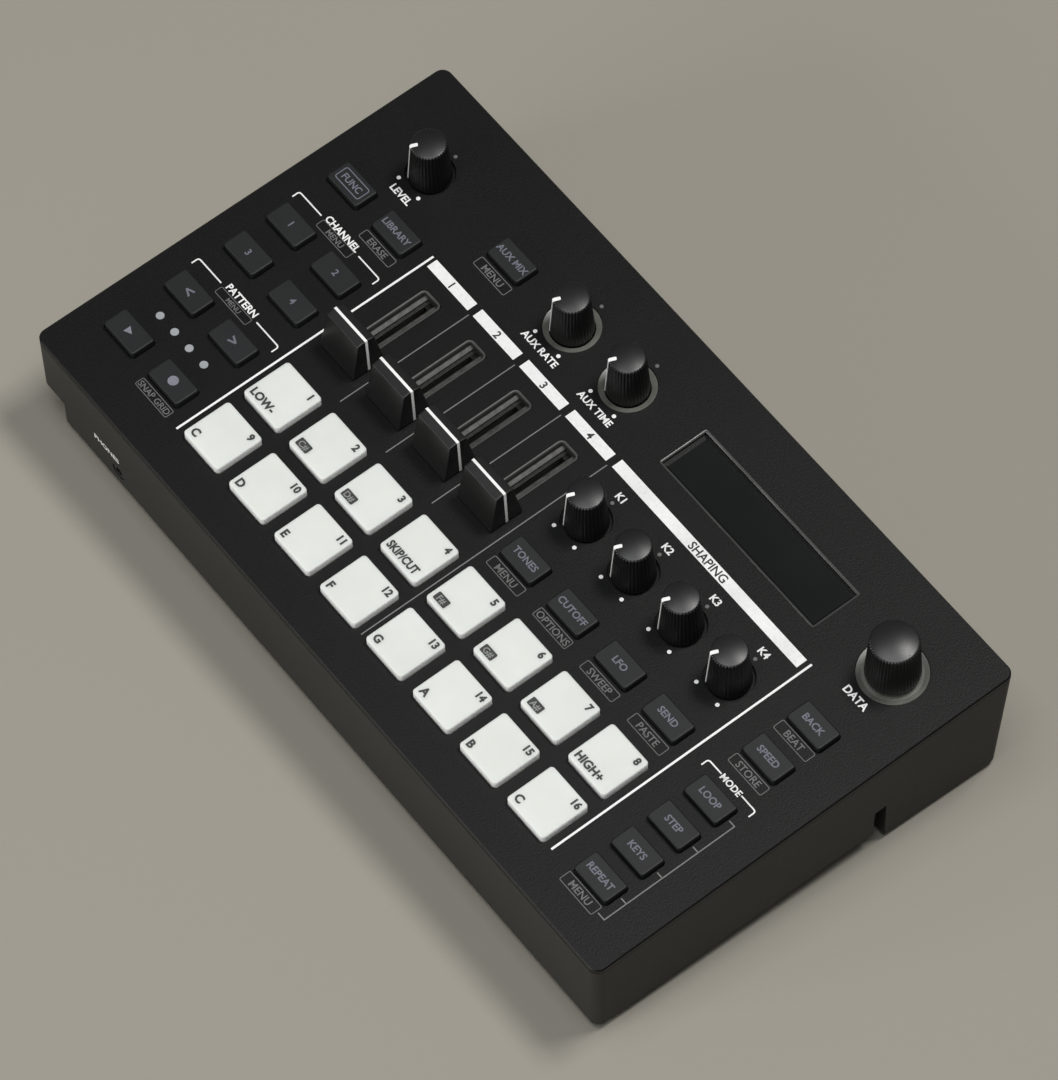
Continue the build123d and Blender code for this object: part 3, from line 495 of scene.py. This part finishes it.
def lens_plastic():
    """Polished dark lens with a faint haze and fine dust."""
    material, tree, shader = finish_nodes("lens_plastic")
    tree.links.new(ramp(tree, noise(tree, 30, 2.0), ((0.3, (0.0090, 0.0096, 0.0096)),
                                                     (0.7, (0.0112, 0.0120, 0.0118)))),
                   shader.inputs["Base Color"])
    tree.links.new(ramp(tree, noise(tree, 1400, 5.0, 0.7), ((0.45, grey(0.07)), (0.75, grey(0.20)))),
                   shader.inputs["Roughness"])
    shader.inputs["Coat Weight"].default_value = 0.3
    shader.inputs["Coat Roughness"].default_value = 0.05
    return material


def metal(name, colour, rough):
    """Turned or plated metal with fine streaks in its roughness."""
    material, tree, shader = finish_nodes(name)
    shader.inputs["Metallic"].default_value = 1.0
    streak = noise(tree, 900, 4.0, 0.6, (1, 6, 1))
    tree.links.new(ramp(tree, streak, ((0.3, tuple(c * 0.85 for c in colour)), (0.7, colour))),
                   shader.inputs["Base Color"])
    tree.links.new(ramp(tree, streak, ((0.3, grey(rough)), (0.7, grey(rough + 0.12)))),
                   shader.inputs["Roughness"])
    bump(tree, shader, streak, 0.5, 0.00001)
    return material


def board_laminate():
    """Green solder mask with copper routes showing faintly through, and black component bodies above it.
    The change is at the board's top face."""
    material, tree, shader = finish_nodes("board_laminate")
    routes = noise(tree, 320, 2.0, 0.4, (1, 0.25, 1))
    mask = ramp(tree, routes, ((0.48, (0.006, 0.045, 0.022)), (0.52, (0.012, 0.085, 0.040))))
    bodies = ramp(tree, routes, ((0.4, (0.016, 0.016, 0.014)), (0.6, (0.030, 0.030, 0.026))))
    tree.links.new(blend(tree, panel_share(tree, BOARD_TOP - 0.005, BOARD_TOP + 0.005), mask, bodies),
                   shader.inputs["Base Color"])
    shader.inputs["Roughness"].default_value = 0.42
    bump(tree, shader, routes, 0.5, 0.00003)
    return material


pad_soft = pad_silicone()
guide = guide_plastic()
lens = lens_plastic()
steel = metal("plated_steel", (0.52, 0.52, 0.54), 0.28)
nickel = metal("nickel", (0.62, 0.60, 0.56), 0.22)
board = board_laminate()
connector_plastic = grained("connector_plastic", grey(0.010), grey(0.016), (0.38, 0.5), 1800, 0.00003, 60.0)


def dress(node, material):
    """Gives a CAD node one material."""
    nodes[node].data.materials.clear()
    nodes[node].data.materials.append(material)


for name in nodes:
    if name.startswith("pad_"):
        dress(name, pad_soft)
    elif name.startswith("button_"):
        dress(name, button_plastic)
    elif name.startswith("knob_"):
        dress(name, knob_plastic)
    elif name.startswith("fader_"):
        dress(name, fader_plastic)
for name, material in (("top_panel", panel_plastic), ("lower_case", case_plastic),
                       ("battery_door", case_plastic), ("display_window", lens), ("light_guides", guide),
                       ("main_board", board), ("connectors", connector_plastic),
                       ("rubber_feet", rubber_black), ("screws", steel),
                       ("power_switch", connector_plastic), ("encoder_plunger", steel)):
    dress(name, material)


# ---------------------------------------------------------------- knobs
RIM_BAND = 0.6                 # width of the crown's rounded rim
RIM_LIFT = 0.10                # how far the dome starts above the wall's full height
CROWN_ROWS = 14                # rows of a knob's profile that make its crown


def crown_level(radius, low, height, top, dome):
    """Height of the crown at a radius: a parabola that falls from its middle to the rim band, and below
    it a blend of three straight steps that grow steeper to the knob's edge."""
    inner = top / 2 - RIM_BAND
    radius = np.asarray(radius, float)
    domed = RIM_LIFT + (dome - RIM_LIFT) * (1 - (radius / inner) ** 2)
    band = np.interp(radius, (inner, top / 2 - 0.25, top / 2 - 0.06, top / 2),
                     (RIM_LIFT, -0.10, -0.21, -0.33))
    return low + height + np.where(radius < inner, domed, band)


def knob_profile(low, height, base, top, dome, depth, rows=14):
    """Rows (radius, height) of a ribbed cone with a domed crown, and each row's rib depth.  The wall is
    straight with a rounded foot.  The ribs deepen towards the crown, run over its rim band and die out
    on it, which gives the rim its fine teeth."""
    foot = np.array([[1e-5, low], [base / 2 - 1.2, low], [base / 2 - 0.3, low],
                     [base / 2 - 0.08, low + 0.08]])
    share = np.linspace(0, 1, rows)[1:]
    wall = np.stack([base / 2 + (top - base) / 2 * share, low + 0.1 + (height - 0.43) * share], axis=1)
    band = top / 2 - np.array([0.06, 0.25, 0.42, RIM_BAND])
    across = np.concatenate([band, (band[-1] - 0.35) * np.cos(np.linspace(0, math.pi / 2, 10))[:-1],
                             [1e-5]])
    crown = np.stack([across, crown_level(across, low, height, top, dome)], axis=1)
    depths = depth * np.concatenate([[0, 0.3, 0.5, 0.5], 0.5 + 0.5 * share ** 4, [1, 0.9, 0.55],
                                     np.zeros(len(across) - 3)])
    return np.vstack([foot, wall, crown]), depths


def pointer_line(middle, direction, low, height, base, top, half=0.34, proud=0.12):
    """A thin rib down the wall of a knob: four corners at the crown's edge and four at the foot."""
    ahead = np.array(direction) / np.linalg.norm(direction)
    side = np.array([-ahead[1], ahead[0]])
    corners = []
    for radius, level in ((base / 2, low + 0.25), (top / 2, low + height - 0.2)):
        for out, across in ((-0.6, -1), (-0.6, 1), (proud, 1), (proud, -1)):
            spot = np.array(middle) + ahead * (radius + out) + side * half * across
            corners.append([*spot, level])
    faces = grid_faces(2, 4, wrap_columns=True).tolist() + [(3, 2, 1, 0), (4, 5, 6, 7)]
    return np.array(corners), faces


def pointer_mark(middle, direction, low, height, base, top, dome, length=3.0, width=1.4, proud=0.09):
    """A bar laid on the domed crown from its rim inward.  Across, its half width shrinks along a quarter
    circle at each end; its top follows the crown's parabola, a little proud of it."""
    ahead = np.array(direction) / np.linalg.norm(direction)
    side = np.array([-ahead[1], ahead[0]])
    outer, corner = top / 2 + 0.12, 0.35
    along = np.concatenate([corner * (1 - np.cos(np.linspace(0, math.pi / 2, 5))),
                            np.linspace(corner, length - corner, 8)[1:-1],
                            length - corner * (1 - np.cos(np.linspace(0, math.pi / 2, 5)))[::-1]])
    near_end = np.minimum(along, length - along)
    inset = corner - np.sqrt(np.maximum(corner ** 2 - np.maximum(corner - near_end, 0) ** 2, 0))
    half = width / 2 - inset
    radius = outer - along
    level = crown_level(np.minimum(radius, top / 2), low, height, top, dome)
    rows = []
    for sign, drop in ((-1, -0.4), (1, -0.4), (1, proud), (-1, proud)):
        spot = np.array(middle) + np.outer(radius, ahead) + np.outer(sign * half, side)
        rows.append(np.column_stack([spot, level + drop]))
    points = np.stack(rows, axis=1)
    last = 4 * (len(along) - 1)
    faces = grid_faces(len(along), 4, wrap_columns=True).tolist()
    return points, faces + [(3, 2, 1, 0), (last, last + 1, last + 2, last + 3)]


POINTING = (-0.5, -math.sqrt(3) / 2)   # where the pointers of the small knobs point at rest
SMALL = dict(low=-0.9, height=20.6, base=16.6, top=13.7)
SMALL_DOME, SMALL_RIBS = 0.8, 36
VALUE = dict(low=1.2, height=20.9, base=20.4, top=18.0)
VALUE_DOME, VALUE_RIBS = 1.3, 48
RIB_DEPTH = 0.34


def knob_shell(name, middle, dome, ribs, shape):
    """The ribbed wall and its domed crown as one closed surface.  The crown, from the last row of the
    wall inward, has the smoother finish and a colour painted lighter than the wall's: painted light on the
    top."""
    rows, depths = knob_profile(**shape, dome=dome, depth=RIB_DEPTH)
    around = turned(middle, rows, ribs * 8, ribs, depths)
    last = len(rows) - CROWN_ROWS
    shell = Shapes().grid(around[:last], wrap_columns=True)
    shell.grid(around[last - 1:], wrap_columns=True, number=1)
    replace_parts(shell.piece(name + "_shell", name, [knob_plastic, crown_plastic], 50), name)


for name, middle in SMALL_KNOBS.items():
    knob_shell(name, middle, SMALL_DOME, SMALL_RIBS, SMALL)
    marks = Shapes()
    marks.add(*pointer_line(middle, POINTING, **SMALL), 1)
    marks.add(*pointer_mark(middle, POINTING, **SMALL, dome=SMALL_DOME))
    marks.piece(name + "_pointer", name, [white_ink, white_ink])

knob_shell("knob_value", (RIGHT_COLUMN, KNOB_ROW), VALUE_DOME, VALUE_RIBS, VALUE)
seat = turned((RIGHT_COLUMN, KNOB_ROW), [(5.0, -1.0), (5.0, -0.7), (11.2, -0.7), (11.2, -1.0)])
Shapes().grid(seat, wrap_rows=True, wrap_columns=True).piece("value_seat", "case", [guide])


# ---------------------------------------------------------------- fader caps
CAP = dict(low=0.8, high=19.4, base=14.4, top=7.4, ridge=0.7, edge=0.45)
CAP_HALF_WIDTHS = (9.8, 9.2)


def cap_section(low, high, base, top, ridge, edge):
    """The cap's outline across v as (v, w) rows, counter-clockwise from the front foot: a sloping front
    wall, an arc into the crown, the crown rising straight to its ridge, and the same mirrored.  The arc
    is a quarter turn blended between the wall's and the crown's direction."""
    half_base, half_top = base / 2, top / 2
    crown_edge = high - ridge
    share = np.linspace(0, 1, 7)[:-1]
    rise = crown_edge - edge - low
    lean = (half_base - half_top) / (crown_edge - low)
    wall = np.stack([-half_base + lean * rise * share, low + rise * share], axis=1)
    t = np.linspace(0, 1, 6)[:, None]
    start = np.array([[-half_top - lean * edge, crown_edge - edge]])
    corner = np.array([[-half_top, crown_edge]])
    end = np.array([[-half_top + edge, crown_edge + ridge * edge / half_top]])
    shoulder = (1 - t) ** 2 * start + 2 * t * (1 - t) * corner + t ** 2 * end
    front = np.vstack([wall, shoulder])
    crest = np.array([[-0.5, high - 0.10], [0.0, high - 0.03], [0.5, high - 0.10]])
    floor = np.array([[half_base / 2, low], [0, low], [-half_base / 2, low]])
    return np.vstack([front, crest, front[::-1] * (-1, 1), floor])


def fader_cap(u, name):
    """The outline carried along u.  Towards each end it shrinks along a quarter circle, which rounds the
    edges, and the end faces lean in from the foot to the crown."""
    low, high, edge = CAP["low"], CAP["high"], CAP["edge"]
    outline = cap_section(**CAP)
    turn = np.linspace(0, math.pi / 2, 6)
    reach_end = 1 - edge / CAP_HALF_WIDTHS[1] * (1 - np.sin(turn))
    inset_end = edge * (1 - np.cos(turn))
    along = np.concatenate([-reach_end[::-1], np.linspace(-0.9, 0.9, 9), reach_end])
    inset = np.concatenate([inset_end[::-1], np.zeros(9), inset_end])
    order = np.argsort(along)
    along, inset = along[order], np.abs(inset[order])
    centre = np.array([0.0, (low + high) / 2])
    arm = outline - centre
    reach = np.linalg.norm(arm, axis=1, keepdims=True)
    half_at = np.interp(outline[:, 1], (low, high), CAP_HALF_WIDTHS)
    rings = []
    for a, shrink in zip(along, inset):
        ring = centre + arm * (1 - shrink / reach)
        rings.append(np.column_stack([u + a * half_at, FADER_REST + ring[:, 0], ring[:, 1]]))
    middle_half = np.mean(CAP_HALF_WIDTHS)
    closing = [np.column_stack([np.full(len(outline), u + side * middle_half),
                                np.full(len(outline), FADER_REST),
                                np.full(len(outline), centre[1])]) for side in (-1, 1)]
    shapes = Shapes().grid(np.stack([closing[0]] + rings + [closing[1]]), wrap_columns=True)
    shapes.add(*filled(rounded_loop((u, FADER_REST), 1.2, 4.4, 0.2, 3), -9.5, low + 1.0))
    return shapes.piece(name + "_shell", name, [fader_plastic], 40)


def fader_line(u, name, half=0.52, proud=0.07):
    """The white line: a flat ribbon up one end wall, over the ridge and down the other end wall.  Its
    outer path stands proud of the cap and its inner path lies inside it."""
    low, high = CAP["low"] + 0.1, CAP["high"]
    foot, crown = CAP_HALF_WIDTHS[0] + proud, CAP_HALF_WIDTHS[1] + proud
    outer = np.array([[-foot, low], [-crown - 0.01, high - 0.42], [-crown + 0.12, high - 0.10],
                      [-crown + 0.45, high + 0.03], [crown - 0.45, high + 0.03],
                      [crown - 0.12, high - 0.10], [crown + 0.01, high - 0.42], [foot, low]])
    inner = outer * (0.97, 1) - (0, 0.5)
    inner[[0, -1], 1] = low
    rings = []
    for (a, b), (c, d) in zip(outer, inner):
        rings.append([[u + a, FADER_REST - half, b], [u + a, FADER_REST + half, b],
                      [u + c, FADER_REST + half, d], [u + c, FADER_REST - half, d]])
    last = 4 * (len(outer) - 1)
    faces = grid_faces(len(outer), 4, wrap_columns=True).tolist()
    faces += [(3, 2, 1, 0), (last, last + 1, last + 2, last + 3)]
    return Shapes().add(np.array(rings), faces).piece(name + "_line", name, [white_ink], 30)


for k in range(4):
    name = f"fader_{k + 1}"
    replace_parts(fader_cap(COLUMNS[k], name), name)
    fader_line(COLUMNS[k], name)


# ---------------------------------------------------------------- fader slots
def slot_rim(middle, length, width, radius, section):
    """A section of (inset, level) rows carried round the slot's mouth: each row is the mouth's rounded
    outline drawn in by its inset, and the rows close on themselves."""
    rings = []
    for inset, level in section:
        loop = rounded_loop(middle, length - 2 * inset, width - 2 * inset, max(radius - inset, 0.15), 6)
        rings.append(np.column_stack([loop, np.full(len(loop), level)]))
    return np.stack(rings)


SLOT_MOUTH = (8.8, 41.3, 1.6)  # length along u, width along v, corner radius
SLOT_MIDDLE = 100.25           # v of the middle of every slot
RIM = np.array([(-0.62, -0.02), (-0.62, 0.36), (-0.57, 0.43), (-0.46, 0.46), (-0.28, 0.44), (-0.06, 0.35),
                (0.12, 0.20), (0.26, 0.0), (0.32, -0.20), (0.34, -0.50), (0.02, -0.50), (0.02, -0.02)])
WALL = np.array([(0.32, -0.48), (0.32, -3.38), (0.02, -3.38), (0.02, -0.48)])
LEDGE = np.array([(-3.80, -3.38), (-3.80, -1.80), (-3.70, -1.66), (-3.45, -1.60), (-3.10, -1.68),
                  (-2.85, -1.80), (-2.10, -1.98), (-1.96, -2.08), (-1.96, -2.25), (-3.30, -2.25),
                  (-3.30, -3.38)])
MAT = np.array([(-3.25, -3.38), (-3.25, -3.05), (-0.70, -3.12), (-0.70, -3.38)])


def along_slot(shapes, u, section, front=80.0, rear=120.5):
    """A section of (u, w) rows carried straight along v between the slot's ends."""
    n = len(section)
    ends = [np.column_stack([u + section[:, 0], np.full(n, v), section[:, 1]]) for v in (front, rear)]
    shapes.add(np.vstack(ends), grid_faces(2, n, wrap_columns=True).tolist()
               + [tuple(range(n))[::-1], tuple(range(n, 2 * n))])


rim, wall, felt, well = Shapes(), Shapes(), Shapes(), Shapes()
for k in range(4):
    for shapes, section in ((rim, RIM), (wall, WALL)):
        shapes.grid(slot_rim((COLUMNS[k], SLOT_MIDDLE), *SLOT_MOUTH, section), wrap_rows=True,
                    wrap_columns=True)
    for side in (1, -1):
        along_slot(felt, COLUMNS[k], LEDGE * (side, 1))
    along_slot(well, COLUMNS[k], MAT)
rim.piece("fader_slot_rim", "case", [slot_trim])
wall.piece("fader_slot_wall", "case", [slot_wall])
felt.piece("fader_slot_felt", "case", [slot_felt])
well.piece("fader_slot_well", "case", [slot_dark])


# ---------------------------------------------------------------- display rim
DISPLAY_MIDDLE = ((181.8 + 266.5) / 2, KNOB_ROW)
DISPLAY_MOUTH = (84.7, 20.3, 0.15)
DISPLAY_RIM = np.array([(-0.66, -0.02), (-0.66, 0.15), (-0.60, 0.21), (-0.52, 0.21), (-0.04, 0.03),
                        (0.03, -0.05), (0.21, -0.25), (0.21, -0.6), (0.02, -0.6), (0.02, -0.02)])
Shapes().grid(slot_rim(DISPLAY_MIDDLE, *DISPLAY_MOUTH, DISPLAY_RIM), wrap_rows=True,
              wrap_columns=True).piece("display_rim", "case", [display_trim])


# ---------------------------------------------------------------- printing on the panel
def bar(shapes, u0, u1, v0, v1):
    """A printed bar with square corners."""
    loop = np.array([[u0, v0], [u1, v0], [u1, v1], [u0, v1]])
    shapes.add(*filled(loop, -SUNK, INK))


def stroke(shapes, path, width, closed=False):
    """A printed line of the given width along a path."""
    shapes.add(*carried(path, width / 2, -SUNK, INK, closed))


STRIPS = ((65.1, 89.0), (92.0, 115.6), (119.1, 142.4), (145.7, 169.1))   # white strips over the faders
BOLD, BRACKET, THIN, HAIR = 0.85, 0.55, 0.42, 0.28                       # widths of the printed lines

bold_lines = Shapes()
stroke(bold_lines, [(63.3, 16.6), (63.3, 132.2)], BOLD)
stroke(bold_lines, [(278.0, 17.7), (278.0, 132.9)], BOLD)
for left, right, gap_left, gap_right, level, drop in (
        (10.8, 58.8, 24.0, 46.2, 111.1, 3.3), (10.8, 58.9, 24.3, 45.6, 65.5, 3.3),
        (284.6, 310.4, 291.7, 302.6, 81.5, 3.2)):
    for start, end in ((left, gap_left), (right, gap_right)):
        turn = 1.0 if end > start else -1.0
        stroke(bold_lines, [(start, level - drop), (start, level - 0.9), (start + 0.25 * turn, level - 0.3),
                            (start + 0.9 * turn, level), (end, level)], BRACKET)
for left, right in STRIPS:
    bar(bold_lines, left, right, 127.8, 132.3)
bar(bold_lines, 172.3, 275.6, 128.0, 132.7)
bold_lines.piece("print_white", "case", [white_ink])

thin_lines = Shapes()
for u, low in ((90.75, 69.0), (117.6, 69.0), (144.3, 69.0), (170.7, 17.5)):
    stroke(thin_lines, [(u, low), (u, 127.1)], THIN)
stroke(thin_lines, [(307.5, 72.2), (310.3, 72.2), (310.3, 15.2), (306.9, 15.2)], THIN)
for level in (56.2, 40.5, 24.8):
    stroke(thin_lines, [(307.5, level), (310.3, level)], THIN)
thin_lines.piece("print_grey_lines", "case", [line_ink])

boxes = Shapes()
BOX_LABELS = (
    (39.1, 56.7, 116.5, 120.5, "ERASE"), (25.9, 44.0, 107.1, 110.8, "MENU"),
    (74.3, 92.0, 141.7, 146.0, "MENU"), (25.7, 43.9, 61.5, 64.8, "MENU"),
    (38.9, 57.1, 16.2, 20.0, "SNAP GRID"), (175.0, 192.7, 69.3, 73.6, "MENU"),
    (201.5, 219.5, 69.3, 73.5, "OPTIONS"), (228.2, 246.1, 69.1, 73.3, "SWEEP"),
    (255.0, 272.8, 69.0, 73.6, "PASTE"), (288.6, 306.1, 106.9, 111.5, "BEAT"),
    (288.7, 306.5, 86.6, 90.9, "STORE"), (288.5, 306.0, 12.9, 17.6, "MENU"))
for left, right, low, high, word in BOX_LABELS:
    middle = ((left + right) / 2, (low + high) / 2)
    stroke(boxes, rounded_loop(middle, right - left, high - low, 0.6, 4), HAIR, closed=True)
    boxes.add(*letters(word, middle, min(high - low - 1.3, 2.9), 0.010))
boxes.piece("print_grey_boxes", "case", [grey_ink])

KNOB_TURN = 300.0              # degrees between a small knob's two stops


def dot_radius(name):
    """How far from a small knob's axis its dots stand: farther out where a ring lies round the knob."""
    return 13.43 if name.startswith("knob_effect") else 11.6


labels = Shapes()
for word, middle, height in (
        ("CHANNEL", (35.1, 112.5), 2.9), ("PATTERN", (35.1, 67.0), 2.9), ("MODE", (297.2, 81.4), 2.6),
        ("LEVEL", (34.9, 139.3), 3.0), ("AUX RATE", (117.9, 138.2), 2.9), ("AUX TIME", (149.8, 138.2), 2.9),
        ("DATA", (297.8, 136.6), 3.15), ("K1", (184.3, 122.7), 3.0), ("K2", (210.9, 122.7), 3.0),
        ("K3", (237.4, 122.9), 3.0), ("K4", (264.2, 122.9), 3.0)):
    labels.add(*letters(word, middle, height, 0.026))
for name, (u, v) in SMALL_KNOBS.items():
    radius = dot_radius(name)
    for turn in (-KNOB_TURN / 2, KNOB_TURN / 2):
        a = math.radians(90 - turn)
        dot = disc_loop((u + radius * math.cos(a), v + radius * math.sin(a)), 1.6)
        labels.add(*filled(dot, -SUNK, INK))
labels.piece("print_labels", "case", [white_ink])

grey_dots = Shapes()
for name, (u, v) in SMALL_KNOBS.items():
    grey_dots.add(*filled(disc_loop((u, v + dot_radius(name)), 1.5), -SUNK, INK))
grey_dots.piece("print_grey_dots", "case", [grey_ink])

strip_words = Shapes()
for k, (left, right) in enumerate(STRIPS):
    strip_words.add(*letters(str(k + 1), ((left + right) / 2, 130.0), 3.2, 0.026, low=0.0, high=2 * INK))
strip_words.add(*letters("SHAPING", (223.8, 130.4), 3.5, 0.018, low=0.0, high=2 * INK))
strip_words.piece("print_strip_words", "case", [black_ink])


# ---------------------------------------------------------------- lettering on pads and buttons
NOTES = {1: "LOW-", 2: "C#", 3: "D#", 4: "SKIP/CUT", 5: "F#", 6: "G#", 7: "A#", 8: "HIGH+", 9: "C", 10: "D",
         11: "E", 12: "F", 13: "G", 14: "A", 15: "B", 16: "C"}
for number, note in NOTES.items():
    u = COLUMNS[(number - 1) % 8]
    v = PAD_ROWS["rear"] if number <= 8 else PAD_ROWS["front"]
    top = dict(low=PAD_TOP - SUNK, high=PAD_TOP + INK)
    shapes = Shapes()
    shapes.add(*letters(str(number), (u + 7.1, v + 7.3), 3.0, 0.044, **top))
    if note.endswith("#"):
        middle = (u - 5.3, v - 6.6)
        shapes.add(*filled(rounded_loop(middle, 6.2, 3.6, 0.5, 4), *top.values()))
        shapes.add(*letters(note, middle, 2.5, 0.018, low=PAD_TOP, high=PAD_TOP + 2 * INK), 1)
    else:
        narrow = 0.84 if len(note) > 5 else 1.0
        shapes.add(*letters(note, (u - 8.6, v - 6.6), 3.3, 0.040, narrow, align="LEFT", **top))
    shapes.piece(f"pad_{number:02d}_print", f"pad_{number:02d}", [pad_ink, pad_soft])

WORDS = {"effects": "AUX MIX", "sound": "TONES", "filter": "CUTOFF", "modulation": "LFO", "send": "SEND",
         "exit": "BACK", "tempo": "SPEED", "clip": "LOOP", "sequence": "STEP", "note": "KEYS",
         "roll": "REPEAT", "shift": "FUNC", "song": "LIBRARY", "track_1": "1", "track_2": "2",
         "track_3": "3", "track_4": "4", "step_back": "<", "step_forward": ">"}
for name, (u, v) in BUTTONS.items():
    top = dict(low=BUTTON_TOP - SUNK, high=BUTTON_TOP + INK)
    shapes = Shapes()
    if name in WORDS:
        height = 4.6 if WORDS[name] in "<>" else 2.8
        shapes.add(*letters(WORDS[name], (u, v), height, 0.022, **top))
    elif name == "play":
        shapes.add(*filled(np.array([[u - 1.4, v - 1.6], [u + 1.7, v], [u - 1.4, v + 1.6]]), *top.values()))
    else:
        shapes.add(*filled(disc_loop((u, v), 4.1), *top.values()))
    if name == "shift":
        shapes.add(*carried(rounded_loop((u, v), 13.4, 5.8, 0.8, 4), 0.2, *top.values(), closed=True))
    ink_used = button_ink_bright if name in ("play", "record") else button_ink
    shapes.piece(f"button_{name}_print", f"button_{name}", [ink_used])

front_word = Shapes()
points, faces = letters("PHONES", (40.4, -26.9), 2.9, 0.022)
front_word.add(np.column_stack([points[:, 0], -points[:, 2], points[:, 1]]), faces)
front_word.piece("print_front", "case", [white_ink])


# ---------------------------------------------------------------- metal in the rear sockets
FACE_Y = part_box("connectors")[1][1] / MM       # rear face of the connectors
SOCKET_HEIGHT = 32.0
OUTPUTS = (200.0, 226.0)
ROUND_SOCKETS = (124.0, 150.0)
USB_COLUMN = 62.0


def upright(points):
    """Millimetres in the object's own frame, in metres."""
    return np.asarray(points, float) * MM


def sleeve(shapes, x, z, outer, inner, low, high, steps=48):
    """A tube along y: two circles at each end, joined round and closed over both rims."""
    a = np.linspace(0, 2 * math.pi, steps, endpoint=False)
    rings = [np.stack([x + r * np.cos(a), np.full(steps, y), z + r * np.sin(a)], axis=1)
             for r, y in ((outer, low), (outer, high), (inner, high), (inner, low))]
    shapes.grid(np.stack(rings), wrap_rows=True, wrap_columns=True)


rear_metal = Shapes()
for u in OUTPUTS:
    sleeve(rear_metal, u - CASE_WIDTH / 2, SOCKET_HEIGHT, 4.7, 3.25, FACE_Y - 0.2, FACE_Y + 0.2)
for u in ROUND_SOCKETS:
    x = u - CASE_WIDTH / 2
    sleeve(rear_metal, x, SOCKET_HEIGHT, 6.74, 6.63, FACE_Y - 9.0, FACE_Y - 0.3)
    for k in range(5):
        a = math.radians(180 + 45 * k)
        sleeve(rear_metal, x + 3.3 * math.cos(a), SOCKET_HEIGHT + 3.3 * math.sin(a), 1.15, 0.8,
               FACE_Y - 9.1, FACE_Y - 8.85, 20)
shield = []
for inset, level in ((-0.05, -8.8), (-0.05, 0.0), (0.12, 0.0), (0.12, -8.8)):
    loop = rounded_loop((USB_COLUMN - CASE_WIDTH / 2, SOCKET_HEIGHT), 8.6 - 2 * inset, 7.9 - 2 * inset,
                        0.3, 3)
    shield.append(np.column_stack([loop[:, 0], np.full(len(loop), FACE_Y - 2.5 + level), loop[:, 1]]))
rear_metal.grid(np.stack(shield), wrap_rows=True, wrap_columns=True)
rear_metal.piece("rear_metal", "case", [nickel], placed=upright)
